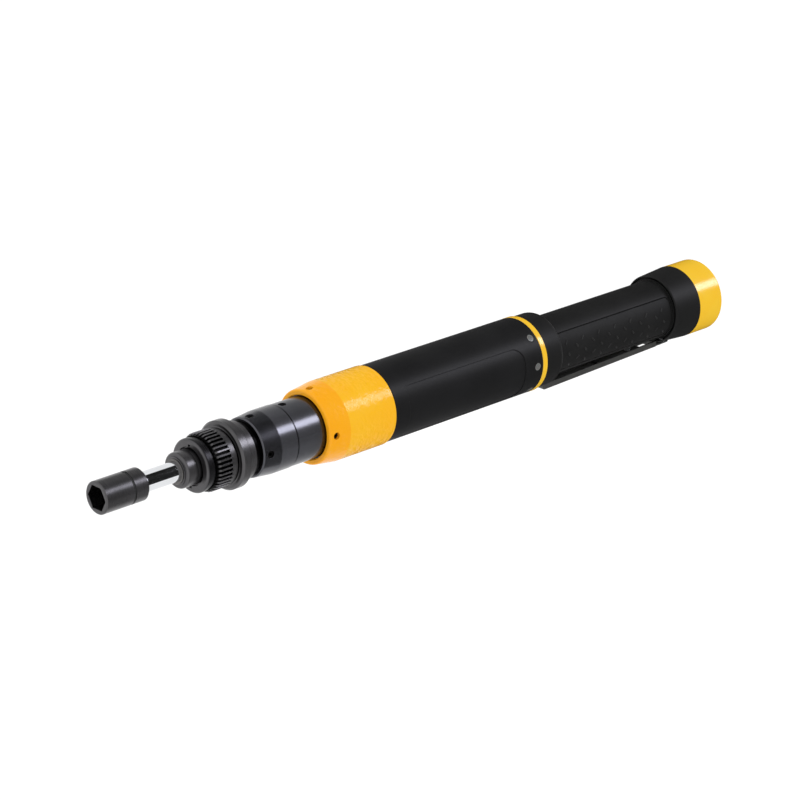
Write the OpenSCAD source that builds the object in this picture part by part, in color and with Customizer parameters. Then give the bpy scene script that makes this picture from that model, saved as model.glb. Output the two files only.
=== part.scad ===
// Inline electric nutrunner with a torque-reaction spline, planetary gearbox and floating output rod.
// The tool's axis is X. The origin is on that axis at the front face of the reaction flange.
// +X runs back to the cable receptacle, +Z is up, and the start lever hangs below the handle.

/* [Socket] */
// Outside diameter of the socket
socket_d = 18.5; // [17:0.1:22]
// Length of the socket
socket_l = 29; // [27:0.5:40]
// Width across the flats of the nut's hex
hex_af = 13; // [8:0.5:13.5]
// Depth of the hex recess
hex_depth = 12; // [8:0.5:13]
// Depth of the square drive hole
square_depth = 13; // [12:0.5:14]
// Width across the flats of the square drive
square_af = 9.5; // [8:0.1:10]
// Section diameter of the rubber ring that keeps the cross pin in
o_ring_d = 1.1; // [0.9:0.1:1.8]
// Diameter of the cross pin
socket_pin_d = 2.4; // [2:0.1:3]
// Distance of the cross pin from the rear face of the socket
socket_pin_back = 9.9; // [6:0.1:11]

/* [Floating rod] */
// Diameter of the chrome rod
rod_d = 11.5; // [11:0.1:12]
// Length of rod that shows between the socket and the wiper
rod_show = 23.3; // [18:0.1:40]
// How far the rod can be pushed into the nose
float_travel = 12; // [6:0.5:14]
// Width across the flats of the rod's hex tail
tail_af = 7.9; // [7:0.1:8.2]
// Length of the float spring when the rod is out
float_spring_l = 26; // [24:0.5:28]
// Wire diameter of the float spring
float_wire_d = 0.8; // [0.6:0.1:0.9]
// Turns of the float spring
float_turns = 9; // [6:1:11]

/* [Nose] */
// Diameter of the nose collar
nose_d = 20.3; // [19.6:0.1:21]
// Length of the nose collar in front of the retaining ring
nose_l = 9.9; // [8:0.1:14]
// Diameter of the wiper's lip
wiper_d = 14.5; // [14:0.1:16]
// Length of the wiper's lip
wiper_l = 0.7; // [0.5:0.1:2]
// Diameter of the retaining ring
nut_d = 30.7; // [29:0.1:31]
// Length of the retaining ring
nut_l = 6; // [5:0.1:10]
// Width of the spanner slots in the face of the retaining ring
nut_slot_w = 2; // [1.6:0.1:4]

/* [Reaction spline and flange] */
// Tip diameter of the spline
spline_d = 33.5; // [33:0.1:35]
// Height of a spline tooth
spline_tooth_h = 1.4; // [0.8:0.1:1.5]
// Number of spline teeth
spline_teeth = 40; // [24:1:48]
// Length of the spline teeth
spline_l = 11.7; // [10:0.1:16]
// Length of the plain run-out band behind the teeth, within the spline's length
runout_l = 3.6; // [1:0.1:4.5]
// Length of the plain band in front of the teeth
spline_band_l = 2.4; // [0.8:0.1:3]
// Length of the relief groove behind the teeth
relief_l = 1.2; // [1:0.1:2.5]
// Diameter of the flange
flange_d = 39.2; // [38:0.1:46]
// Thickness of the flange
flange_l = 7; // [6:0.1:12]
// Chamfer on both edges of the flange
flange_chamfer = 1.2; // [0.4:0.1:1.5]
// Diameter of the neck behind the flange
neck_d = 34; // [31.6:0.1:35]
// Length of the bright neck
neck_l = 4.9; // [3:0.1:8]
// Length of the dark groove behind the neck
groove_l = 4.9; // [2:0.1:6]

/* [Bearings] */
// Bore of the spindle bearings
bearing_id = 17; // [16.6:0.1:17.4]
// Outside diameter of the spindle bearings
bearing_od = 26; // [25:0.1:27]
// Width of the spindle bearings
bearing_w = 5; // [4:0.1:6]
// Distance between the two spindle bearings
bearing_span = 12; // [10:0.1:12.5]
// Bore of the motor front bearing
motor_front_id = 6; // [5:0.1:6.4]
// Outside diameter of the motor front bearing
motor_front_od = 19; // [16:0.1:22]
// Bore of the motor rear bearing
motor_rear_id = 5; // [4:0.1:5.5]
// Outside diameter of the motor rear bearing
motor_rear_od = 16; // [13:0.1:19]
// Width of the motor bearings
motor_bearing_w = 5; // [4:0.1:6]

/* [Gear train] */
// Module of the gears
gear_module = 0.6; // [0.58:0.005:0.61]
// Face width of the planets
gear_w = 8; // [6:0.1:9]
// Thickness of the planet carriers
carrier_t = 3; // [2.4:0.1:4]
// Diameter of the planet pins
planet_pin_d = 3; // [2:0.1:3.6]
// Outside diameter of the ring gear
ring_gear_d = 32; // [31.4:0.1:32.6]
// Play between the flanks of two meshed teeth
backlash = 0.12; // [0.08:0.01:0.2]

/* [Gear case] */
// Diameter at the front rim of the gear case
case_front_d = 34.4; // [33.6:0.1:36]
// Diameter of the front half of the gear case
case_d = 36.7; // [36.4:0.1:40]
// Length of the cone at the front of the gear case
case_cone_l = 12; // [8:0.1:15]
// Length of the front half of the gear case
case_front_l = 24.2; // [23.4:0.1:30]
// Diameter of the rear half of the gear case
case_rear_d = 36.2; // [35.6:0.1:38]
// Length of the rear half that shows in front of the cap
case_rear_show = 19.8; // [16:0.1:24]
// Diameter of the set screw holes in the gear case
case_screw_d = 4.5; // [3:0.1:5]

/* [Front cap] */
// How far the cap stands proud of the motor housing
cap_proud = 0.55; // [0.2:0.05:3]
// How much narrower the cap is at its front face, on the diameter
cap_taper = 3.3; // [1:0.1:4]
// Length of the cone at the front of the cap
cap_cone_l = 14; // [8:0.1:20]
// Length of the cap
cap_l = 49.3; // [47:0.1:58]
// Diameter of the set screws in the cap
cap_screw_d = 4; // [3:0.1:4.6]

/* [Motor housing] */
// Diameter of the motor housing
body_d = 46; // [45.4:0.1:50]
// Wall of the motor housing
body_wall = 2.5; // [2.2:0.1:2.7]
// Length of the motor housing
body_l = 119.5; // [116:0.1:150]
// Depth of the side panel recess
panel_depth = 0.4; // [0.2:0.1:0.8]
// Distance of the side panel recess from the front of the housing
panel_front_gap = 11; // [4:0.1:30]
// Distance of the side panel recess from the rear of the housing
panel_rear_gap = 14.4; // [8:0.1:30]
// Angle of the side panel's upper edge above the middle of the side
panel_top_angle = 37; // [20:1:45]
// Angle of the side panel's lower edge below the middle of the side
panel_low_angle = 58; // [20:1:62]
// Length of the stator core
stator_l = 68; // [50:1:69]
// Number of stator teeth
stator_teeth = 12; // [9:3:15]

/* [Indicators] */
// Diameter of an indicator lens
lens_d = 4.6; // [3:0.1:5]
// Angle from one indicator lens to the next, three on each side
lens_step = 45; // [30:1:55]
// How far the indicator ring stands proud of the motor housing
ring_proud = 0.1; // [0:0.05:3]
// Length of the indicator ring
ring_l = 4.1; // [2:0.1:8]

/* [Handle] */
// Wall of the collar in front of the handle
collar_wall = 4.2; // [3.9:0.1:5]
// Length of the collar
collar_l = 15.6; // [14:0.1:24]
// Rounding of the collar's rear edge
collar_round = 3.6; // [1:0.1:3.8]
// Diameter of the handle
handle_d = 36.4; // [36:0.1:38]
// Wall of the handle
handle_wall = 2.4; // [2.2:0.1:2.8]
// Length of the handle between the collar and the flare
handle_l = 101.5; // [98:0.5:130]
// Half of the angle that a grip panel takes up
grip_half_angle = 40; // [25:1:45]
// Thickness of the grip panels
grip_t = 1.1; // [0.8:0.1:1.4]
// Width of the groove round a grip panel
grip_gap = 0.4; // [0.2:0.1:0.8]

/* [Start lever] */
// Width of the lever
lever_w = 11; // [9.6:0.1:11.6]
// Depth of the lever's channel
lever_h = 3.4; // [2.6:0.1:4]
// Sheet thickness of the lever
lever_t = 1.2; // [0.8:0.1:1.4]
// How far the lever's lower face stands below the handle at its tip
lever_tip_stand = 7.4; // [6.8:0.1:9]
// How far the lever's lower face stands below the handle at its hinge end
lever_rear_stand = 5; // [4.4:0.1:5.6]
// Length of the lever that reaches into the collar
lever_reach = 1.3; // [1:0.1:9]
// Diameter of the hinge pin
lever_pin_d = 2.4; // [2:0.1:2.8]
// Distance of the switch plunger in front of the hinge pin
plunger_arm = 54; // [50:0.5:60]
// Diameter of the switch plunger
plunger_d = 3.6; // [3:0.1:4]

/* [Tail] */
// How far the front of the flare stands out from the handle
flare_lip = 3.15; // [2.9:0.05:5]
// How much wider the flare is at its rear, on the diameter
flare_taper = 2.7; // [1:0.1:5]
// Length of the flare
flare_l = 20.8; // [18:0.1:30]
// How far the tail cap is set in from the flare
tail_inset = 0.05; // [0:0.05:0.5]
// Length of the tail cap
tail_l = 21.4; // [20:0.1:30]
// Rounding of the tail cap's rear edge
tail_round = 1.6; // [0.6:0.1:2.5]
// Outside diameter of the cable receptacle
receptacle_d = 23; // [22:0.1:24]
// Length of the receptacle behind its flange
receptacle_l = 9.3; // [8.4:0.1:9.8]
// Diameter of the recess round the receptacle
recess_d = 33; // [32:0.1:36]

/* [Fits] */
// Radial clearance of a running fit
run = 0.05; // [0.02:0.01:0.1]
// Radial clearance between pieces that are fixed together
fit = 0.02; // [0.01:0.01:0.05]
// Clearance where pieces pass each other
clear = 0.4; // [0.3:0.05:0.6]

/* [Hidden] */

// Fineness of round surfaces and of rounded outlines
round_fn = 96;
small_fn = 32;
arc_steps = 6;
// Overlap of a cutting tool past the face that it cuts
past = 1;

// Colours as the object shows them
black_oxide = [0.26, 0.25, 0.24];
chrome = [0.82, 0.83, 0.85];
bright_steel = [0.66, 0.67, 0.69];
gunmetal = [0.23, 0.24, 0.27];
amber = [1, 0.7, 0.17];
satin_black = [0.14, 0.14, 0.14];
rubber_black = [0.1, 0.1, 0.1];
lens_grey = [0.54, 0.54, 0.54];
copper = [0.72, 0.42, 0.2];
board_green = [0.1, 0.35, 0.2];
aluminium = [0.75, 0.76, 0.78];

// Stations along the axis, from the flange forward
relief_x0 = -relief_l;
runout_x0 = relief_x0 - runout_l;
teeth_x0 = relief_x0 - spline_l;
spline_x0 = teeth_x0 - spline_band_l;
nut_x0 = spline_x0 - nut_l;
nose_x1 = nut_x0 - clear;
nose_x0 = nose_x1 - nose_l;
wiper_x0 = nose_x0 - wiper_l;
socket_x1 = wiper_x0 - rod_show;
socket_x0 = socket_x1 - socket_l;

// Stations along the axis, from the flange back
neck_x1 = flange_l + neck_l;
case_x0 = neck_x1 + groove_l;
case_joint_x = case_x0 + case_front_l;
cap_x0 = case_joint_x + case_rear_show;
cap_x1 = cap_x0 + cap_l;
body_x1 = cap_x1 + body_l;
ring_x1 = body_x1 + ring_l;
collar_x1 = ring_x1 + collar_l;
handle_x1 = collar_x1 + handle_l;
flare_x1 = handle_x1 + flare_l;
tail_x1 = flare_x1 + tail_l;

// Socket, rod and their pin
socket_r = socket_d / 2;
socket_chamfer = 0.6;
socket_rear_chamfer = 1.2;
ring_play = 0.1;
groove_w = o_ring_d + 2 * ring_play;
groove_r = socket_r - o_ring_d - ring_play;
pin_short = 0.2;
groove_x = socket_x1 - socket_pin_back;
hex_r = hex_af / 2 / cos(30);
hex_lead = 0.25;
web_hole_r = min(hex_af, square_af) * 0.4;
rod_r = rod_d / 2;
rod_front_x = socket_x1 - square_depth + clear;
tail_r = tail_af / 2 / cos(30);

// Bearings and spindle
bearing_r = bearing_od / 2;
journal_r = bearing_id / 2 - run;
nut_spigot_l = 1.6;
front_bearing_x0 = spline_x0 + nut_spigot_l;
front_bearing_x1 = front_bearing_x0 + bearing_w;
rear_bearing_x0 = front_bearing_x1 + bearing_span;
rear_bearing_x1 = rear_bearing_x0 + bearing_w;
race_t = 1.2;
spindle_thread_r = journal_r - 0.5;
rod_bore_r = rod_r + run;
nose_wall = 3.2;
spindle_x0 = nose_x0 + nose_wall;
circlip_t = 1.1;
circlip_depth = 0.4;
shoulder_r = journal_r + race_t * 0.8;
wiper_seat_r = (rod_d + wiper_d) / 4 + 0.3;
nose_face_r = 8.3;
nose_step = 0.5;
nose_round = 1.6;

// Reaction spline and the retaining ring in front of it
tooth_tip_share = 0.18;
tooth_root_share = 0.3;
tooth_lap = 0.1;
tooth_lead = 0.2;
runout_step = 0.3;
seat_step = 0.1;
groove_step = 0.4;
nut_round = 1.6;
nut_slot_r = 12.5;
nut_slot_depth = 1.6;
nut_rim_l = 3.2;
nut_groove_h = 0.6;
nut_sink_gap = 0.9;
nut_sink_r = nose_d / 2 + nut_sink_gap;
nut_sink_l = 1.8;
nut_sink_x = nut_x0 + nut_sink_l;
nose_end_x = nut_sink_x - clear;

// Gear train
sun_teeth = 15;
planet_teeth = 15;
ring_teeth = sun_teeth + 2 * planet_teeth;
planet_count = 3;
pressure_angle = 25;
addendum = 0.85;
dedendum = 1.15;
flank_steps = 4;
orbit_r = gear_module * (sun_teeth + planet_teeth) / 2;
ring_tip_r = gear_module * (ring_teeth / 2 - addendum);
carrier_r = ring_tip_r - 0.9;
planet_pin_r = planet_pin_d / 2;
gear_gap = 0.5;
planet_two_x1 = case_joint_x - gear_gap - carrier_t / 2;
planet_two_x0 = planet_two_x1 - gear_w;
carrier_two_x1 = planet_two_x0 - gear_gap;
carrier_two_x0 = carrier_two_x1 - carrier_t;
carrier_one_x0 = planet_two_x1 + gear_gap;
carrier_one_x1 = carrier_one_x0 + carrier_t;
planet_one_x0 = carrier_one_x1 + gear_gap;
planet_one_x1 = planet_one_x0 + gear_w;
ring_gear_x0 = planet_two_x0;
ring_gear_x1 = planet_one_x1 + gear_gap;
ring_gear_r = ring_gear_d / 2;

// Hex tail of the rod in the spindle
hex_bore_x1 = carrier_two_x0;
rod_tail_x1 = hex_bore_x1 - past - float_travel;
rod_shoulder_x = nose_x0 + float_travel;
hex_bore_x0 = rod_shoulder_x + float_spring_l;

// Gear case
case_r = case_d / 2;
case_rear_r = case_rear_d / 2;
spigot_l = 7.8;
spigot_x1 = case_x0 + spigot_l;
case_front_wall = 1.9;
spigot_r = case_front_d / 2 - case_front_wall;
case_lap = 3;
joint_v = 0.35;
case_lap_r = (ring_gear_r + case_r) / 2 - fit;
case_shoulder = 1.4;
case_shoulder_r = ring_gear_r - case_shoulder;
case_screw_back = 4.5;
case_screw_x = case_x0 + case_screw_back;
case_pin_back = 4.1;
case_pin_x = case_joint_x + case_pin_back;
screw_sink = 0.7;
cap_wall = 2;
case_flange_l = 8.5;
case_flange_x0 = cap_x0 + cap_wall;
case_flange_x1 = case_flange_x0 + case_flange_l;
case_rear_step = 3.5;
case_rear_bore_r = ring_gear_r - case_rear_step;

// Front cap
cap_d = body_d + 2 * cap_proud;
cap_front_d = cap_d - cap_taper;
cap_r = cap_d / 2;
cap_ease = 0.1;
cap_cavity_r = body_d / 2 - body_wall + cap_ease;
case_flange_r = cap_cavity_r - run;
cap_round = 1.4;
cap_lip = 0.6;
cap_lap = 8;
cap_lap_step = 1.1;
cap_lap_r = body_d / 2 - cap_lap_step;
cap_screw_back = 4.6;
cap_screw_x = cap_x0 + cap_screw_back;
cap_screw_sink = 1.8;
cap_screw_in = 3;

// Motor housing and what is in it
body_r = body_d / 2;
body_bore_r = body_r - body_wall;
plate_r = body_bore_r - fit;
front_plate_back = 5;
front_plate_x1 = cap_x1 - front_plate_back;
front_plate_t = 8;
front_plate_x0 = front_plate_x1 - front_plate_t;
bearing_sink = 0.5;
motor_front_bearing_x1 = front_plate_x1 - bearing_sink;
motor_front_bearing_x0 = motor_front_bearing_x1 - motor_bearing_w;
end_turn_l = 4;
coil_gap_front = 8;
coil_gap_rear = 9.8;
stator_x0 = front_plate_x1 + coil_gap_front + end_turn_l;
stator_x1 = stator_x0 + stator_l;
rear_plate_t = 8;
rear_plate_x0 = stator_x1 + end_turn_l + coil_gap_rear;
rear_plate_x1 = rear_plate_x0 + rear_plate_t;
rear_bearing_floor = 1.5;
motor_rear_bearing_x0 = rear_plate_x0 + rear_bearing_floor;
motor_rear_bearing_x1 = motor_rear_bearing_x0 + motor_bearing_w;
stator_bore_r = body_bore_r * 0.56;
stator_slot_r = body_bore_r - 3;
tooth_w = 3;
tooth_tip_t = 1.4;
coil_t = 1.2;
coil_h = 3;
air_gap = 0.5;
magnet_t = 2.4;
magnet_r = stator_bore_r - air_gap;
rotor_core_r = magnet_r - magnet_t - fit;
shaft_r = motor_front_id / 2 - run;
shaft_rear_r = motor_rear_id / 2 - run;
resolver_x0 = rear_plate_x1;
resolver_l = 7;
resolver_r = 14;
resolver_bore_r = 9;
shaft_x1 = resolver_x0 + resolver_l + past;
body_edge = 0.5;
panel_x0 = cap_x1 + panel_front_gap;
panel_l = body_l - panel_front_gap - panel_rear_gap;
panel_round_rear = 8;
panel_round_front = 2;

// Torque transducer between the gear case and the motor plate
transducer_flange_t = 3;
transducer_tube_r = 15;
transducer_wall = 1.4;
transducer_x0 = case_flange_x1;
transducer_x1 = front_plate_x0;
transducer_screw_r = 1.2;
transducer_thread_l = 4;
transducer_screw_circle = (transducer_tube_r + plate_r) / 2;
transducer_screws_count = 4;
transducer_screws_turn = 45;

// Indicators
lens_back = 4.4;
lens_x = body_x1 - lens_back;
rear_bore_step = 0.7;
rear_bore_r = body_bore_r - rear_bore_step;
ring_d = body_d + 2 * ring_proud;
ring_in = 2;
board_t = 1.4;
board_w = 6;
lens_flange_r = rear_bore_r;

// Handle
handle_r = handle_d / 2;
handle_bore_r = handle_r - handle_wall;
collar_d = handle_d + 2 * collar_wall;
collar_r = collar_d / 2;
handle_sink = 1;
handle_x0 = ring_x1 + handle_sink;
grip_margin = 1.6;
grip_front_margin = 0.7;
grip_x0 = collar_x1 + grip_front_margin;
grip_x1 = handle_x1 - grip_margin;
grip_round_front = 1;
grip_round_rear = 2.5;

// Start lever and its hinge
lever_tip_drop = handle_r + lever_tip_stand;
lever_rear_drop = handle_r + lever_rear_stand;
lever_x0 = collar_x1 - lever_reach;
lever_x1 = handle_x1 - clear;
pivot_back = 3.2;
pivot_drop = 0.4;
pivot_x = handle_x1 + pivot_back;
pivot_z = -(handle_r + pivot_drop);
hinge_boss_r = 2.6;
hinge_boss_w = 7.6;
lever_pin_r = lever_pin_d / 2;
lever_pin_l = 19;
slot_side = clear;
slot_x0 = lever_x0 - past;
slot_ease = 0.6;
slot_top = handle_r + slot_ease;
slope = (lever_tip_drop - lever_rear_drop) / (lever_x1 - lever_x0);
function lever_drop(x) = lever_tip_drop - slope * (x - lever_x0);
lever_window_arm = 13.5;
lever_window_x = pivot_x - lever_window_arm;
lever_window_l = 7.9;
lever_window_w = 6.6;
plunger_x = pivot_x - plunger_arm;
plunger_r = plunger_d / 2;
plunger_gap = 0.3;
plunger_drop = lever_drop(plunger_x) - lever_t - plunger_gap;
press_angle = 1.5;
plunger_travel = plunger_arm * press_angle * PI / 180;
rail_w = 6.4;
rail_back = 10;
rail_x1 = plunger_x + rail_back;
rail_room = 3.3;
rail_drop_front = lever_tip_drop - lever_t - lever_reach * slope - rail_room;
rail_rear_step = 0.2;
rail_drop_rear = handle_r + rail_rear_step;
lever_spring_arm = 24;
lever_spring_x = pivot_x - lever_spring_arm;
lever_spring_r = 1.9;
lever_wire_d = 0.5;
lever_spring_turns = 4;
lever_spring_sink = 1.6;
lever_spring_top = handle_r - lever_spring_sink;
lever_root_l = 2;
lever_tongue_l = 12;
lever_tongue_t = 2.4;
lever_tongue_x1 = handle_x1 + lever_tongue_l;
lever_spring_pocket_r = lever_spring_r + lever_wire_d;
switch_l = 24;
switch_w = 12;
switch_h = 8;
plunger_in = 3;
inner_ease = 0.3;
switch_drop = sqrt(handle_bore_r * handle_bore_r - switch_w * switch_w / 4) - inner_ease;

// Control board in the handle
control_gap = 12;
control_x0 = collar_x1 + control_gap;
control_l = 76;
control_z = 2;
control_t = 1.6;
control_half_w = sqrt(pow(handle_bore_r, 2) - pow(control_z + control_t, 2)) - inner_ease;

// Tail
flare_front_r = handle_r + flare_lip;
flare_d = 2 * flare_front_r + flare_taper;
flare_r = flare_d / 2;
flare_round = 0.8;
flare_wall = 2.8;
flare_bore_r = handle_bore_r - flare_wall;
flare_spigot_l = 8;
relief_step = 0.9;
relief_in_r = handle_r + relief_step;
relief_rim = 1;
relief_out_r = flare_front_r - relief_rim;
relief_depth = 2.2;
tail_r0 = flare_r - tail_inset;
tail_lap = 7;
tail_lap_step = 2.65;
tail_lap_r = tail_r0 - tail_lap_step;
tail_lap_wall = 2.6;
tail_floor_back = 2.4;
tail_floor_x0 = flare_x1 + tail_floor_back;
tail_floor_t = 6;
tail_floor_x1 = tail_floor_x0 + tail_floor_t;
receptacle_r = receptacle_d / 2;
receptacle_wall = 1.2;
receptacle_bore_r = receptacle_r - receptacle_wall;
receptacle_flange_w = 3.1;
receptacle_flange_r = receptacle_r + receptacle_flange_w;
receptacle_flange_t = 2.2;
receptacle_edge = 0.4;
receptacle_x0 = tail_floor_x1;
receptacle_x1 = receptacle_x0 + receptacle_flange_t + receptacle_l;
insert_x0 = tail_floor_x0 + past;
insert_proud = 1.8;
insert_x1 = receptacle_x0 + receptacle_flange_t + insert_proud;
contact_r = 0.7;
contact_l = 4;
contact_rings = [[1, 0], [6, 0.4], [12, 0.75]];
connector_screw_r = 0.95;
connector_head_r = 1.35;
connector_head_t = 1.4;
connector_screw_out = 1.6;
connector_screw_circle = receptacle_r + connector_screw_out;
connector_screw_turn = 45;
connector_screw_depth = 4;
connector_screw_count = 4;

// Points on a circular arc, from one angle to another
function arc(cx, cy, r, from, to) =
    [for (i = [0:arc_steps]) let (a = from + (to - from) * i / arc_steps) [cx + r * cos(a), cy + r * sin(a)]];

// Outline of a rectangle with one rounding at its low-x end and another at its high-x end
function rounded_outline(x0, x1, half_w, r0, r1) = concat(
    arc(x0 + r0, half_w - r0, r0, 180, 90),
    arc(x1 - r1, half_w - r1, r1, 90, 0),
    arc(x1 - r1, r1 - half_w, r1, 0, -90),
    arc(x0 + r0, r0 - half_w, r0, -90, -180));

// A body of revolution about the X axis, from points of radius and station
module turned(profile) rotate([0, 90, 0]) rotate_extrude($fn = round_fn) polygon(profile);

// A plain tube along the X axis
module tube(x0, x1, outer, inner) turned([[inner, x0], [outer, x0], [outer, x1], [inner, x1]]);

// A solid round bar along the X axis
module bar(x0, x1, r) translate([x0, 0, 0]) rotate([0, 90, 0]) cylinder(r = r, h = x1 - x0, $fn = round_fn);

// A flat outline, drawn in Y and Z, drawn out along the X axis
module drawn(x0, x1) translate([x0, 0, 0]) rotate([90, 0, 90]) linear_extrude(x1 - x0) children();

// Copies of the children at equal angles about the X axis, the first one at the top
module around(count, first = 0) for (i = [0:count - 1]) rotate([first + 360 * i / count, 0, 0]) children();

// A radial bar, pointing up from the axis
module radial(x, r, from, to) translate([x, 0, from]) cylinder(r = r, h = to - from, $fn = small_fn);

// A set screw with a hex recess, pointing up from the axis
module set_screw(x, r, from, to) difference() {
    radial(x, r, from, to);
    translate([x, 0, to - r]) cylinder(r = r * 0.55, h = r + past, $fn = 6);
}

// A round wire wound into a spring along Z
module coil_spring(r, wire_d, length, turns) {
    sides = 6;
    steps = 14 * turns;
    rise = length - wire_d;
    points = [for (i = [0:steps], j = [0:sides - 1])
        let (a = 360 * turns * i / steps, b = 360 * j / sides, rr = r + wire_d / 2 * cos(b))
        [rr * cos(a), rr * sin(a), wire_d / 2 + rise * i / steps + wire_d / 2 * sin(b)]];
    skin = [for (i = [0:steps - 1], j = [0:sides - 1])
        let (k = (j + 1) % sides, a = i * sides, b = a + sides) [a + j, b + j, b + k, a + k]];
    first = [for (j = [0:sides - 1]) j];
    last = [for (j = [0:sides - 1]) steps * sides + sides - 1 - j];
    polyhedron(points, concat([first], skin, [last]), convexity = turns);
}

// Involute angle at a radius outside the base circle, in degrees
function involute_angle(base, r) = let (t = sqrt(max(0, r * r / base / base - 1))) t * 180 / PI - atan(t);

// Half of the angle that a tooth takes up at a radius, with the play taken off or added
function tooth_half_angle(teeth, r, play) = let (
        pitch = gear_module * teeth / 2,
        base = pitch * cos(pressure_angle))
    90 / teeth + involute_angle(base, pitch) - involute_angle(base, max(r, base)) - play / 4 / pitch * 180 / PI;

// Outline of a gear with a tooth on the +X side
function gear_outline(teeth, root, tip, play) = [
    for (i = [0:teeth - 1], side = [-1, 1], k = [0:flank_steps])
        let (
            step = side < 0 ? k : flank_steps - k,
            r = root + (tip - root) * step / flank_steps,
            a = 360 * i / teeth + side * tooth_half_angle(teeth, r, play))
        [r * cos(a), r * sin(a)]];

// Outline of a sun or planet
function pinion_outline(teeth) = let (pitch = gear_module * teeth / 2)
    gear_outline(teeth, pitch - dedendum * gear_module, pitch + addendum * gear_module, backlash);

// Outline of the space inside the ring gear
function ring_outline() = let (pitch = gear_module * ring_teeth / 2)
    gear_outline(ring_teeth, pitch - addendum * gear_module, pitch + dedendum * gear_module, -backlash);

// Outline of the reaction spline
function spline_outline() = [
    for (i = [0:spline_teeth - 1], corner = [-tooth_root_share, -tooth_tip_share, tooth_tip_share, tooth_root_share])
        let (
            a = 360 * (i + corner) / spline_teeth,
            r = spline_d / 2 - (abs(corner) > tooth_tip_share ? spline_tooth_h : 0))
        [r * cos(a), r * sin(a)]];

// A planet with its bore, at its place on the orbit; its tooth points outwards
module planet(x0, index) rotate([360 * index / planet_count, 0, 0]) translate([0, orbit_r, 0])
    color(bright_steel) drawn(x0, x0 + gear_w) difference() {
        polygon(pinion_outline(planet_teeth));
        circle(r = planet_pin_r + run, $fn = small_fn);
    }

// The pins of one carrier
module planet_pins(x0, x1) color(bright_steel) for (i = [0:planet_count - 1])
    rotate([360 * i / planet_count, 0, 0]) translate([0, orbit_r, 0]) bar(x0, x1, planet_pin_r);

// The holes for the pins of one carrier
module pin_holes(x0, x1) for (i = [0:planet_count - 1])
    rotate([360 * i / planet_count, 0, 0]) translate([0, orbit_r, 0]) bar(x0 - past, x1 + past, planet_pin_r + fit);

// A ball bearing with its two races and the sunk shield between them
module bearing(x0, x1, inner, outer) {
    shield = 0.3;
    color(bright_steel) turned([
        [inner, x0], [inner + race_t, x0], [inner + race_t, x0 + shield], [outer - race_t, x0 + shield],
        [outer - race_t, x0], [outer, x0], [outer, x1], [outer - race_t, x1],
        [outer - race_t, x1 - shield], [inner + race_t, x1 - shield], [inner + race_t, x1], [inner, x1]]);
}

module socket() color(black_oxide) difference() {
    turned([
        [0, socket_x0], [socket_r - socket_chamfer, socket_x0], [socket_r, socket_x0 + socket_chamfer],
        [socket_r, groove_x - groove_w / 2], [groove_r, groove_x - groove_w / 2],
        [groove_r, groove_x + groove_w / 2], [socket_r, groove_x + groove_w / 2],
        [socket_r, socket_x1 - socket_rear_chamfer], [socket_r - socket_rear_chamfer, socket_x1],
        [0, socket_x1]]);
    translate([socket_x0 - past, 0, 0]) rotate([0, 90, 0]) rotate(30)
        cylinder(r = hex_r, h = hex_depth + past, $fn = 6);
    turned([
        [0, socket_x0 - past], [hex_r + past, socket_x0 - past],
        [hex_r - hex_lead, socket_x0 + hex_lead], [0, socket_x0 + hex_lead]]);
    bar(socket_x0, socket_x1, web_hole_r);
    drawn(socket_x1 - square_depth, socket_x1 + past) square(square_af + 2 * run, center = true);
    radial(groove_x, socket_pin_d / 2 + fit, -socket_d, socket_d);
}

module socket_pin() color(bright_steel) radial(groove_x, socket_pin_d / 2, pin_short - groove_r, groove_r - pin_short);

module socket_o_ring() color(rubber_black) translate([groove_x, 0, 0]) rotate([0, 90, 0])
    rotate_extrude($fn = round_fn) translate([groove_r + o_ring_d / 2 + fit, 0])
        circle(d = o_ring_d, $fn = small_fn);

module drive_rod() color(chrome) difference() {
    union() {
        intersection() {
            bar(rod_front_x, rod_shoulder_x, rod_r);
            union() {
                bar(socket_x1, rod_shoulder_x, rod_d);
                drawn(rod_front_x, socket_x1 + past) square(square_af, center = true);
            }
        }
        translate([rod_shoulder_x - past, 0, 0]) rotate([0, 90, 0])
            cylinder(r = tail_r, h = rod_tail_x1 - rod_shoulder_x + past, $fn = 6);
    }
    radial(groove_x, socket_pin_d / 2 + fit, -rod_d, rod_d);
}

module float_spring() color(bright_steel) translate([rod_shoulder_x + run, 0, 0]) rotate([0, 90, 0])
    coil_spring((tail_r + rod_bore_r) / 2, float_wire_d, float_spring_l - 2 * run, float_turns);

module rod_wiper() color(black_oxide) {
    lip_round = wiper_l * 0.7;
    turned(concat(
        [[rod_bore_r, nose_x0 + nose_wall / 2], [rod_bore_r, wiper_x0]],
        arc(wiper_d / 2 - lip_round, wiper_x0 + lip_round, lip_round, -90, 0),
        [[wiper_d / 2, nose_x0], [wiper_seat_r, nose_x0], [wiper_seat_r, nose_x0 + nose_wall / 2]]));
}

module nose_collar() color(black_oxide) {
    seat_r = wiper_seat_r + fit;
    turned(concat(
        [[rod_bore_r, spindle_x0], [rod_bore_r, nose_x0 + nose_wall / 2], [seat_r, nose_x0 + nose_wall / 2],
         [seat_r, nose_x0], [nose_face_r, nose_x0], [nose_face_r, nose_x0 + nose_step]],
        arc(nose_d / 2 - nose_round, nose_x0 + nose_step + nose_round, nose_round, -90, 0),
        [[nose_d / 2, nose_end_x], [shoulder_r, nose_end_x], [shoulder_r, front_bearing_x0],
         [spindle_thread_r + fit, front_bearing_x0], [spindle_thread_r + fit, spindle_x0]]));
}

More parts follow.
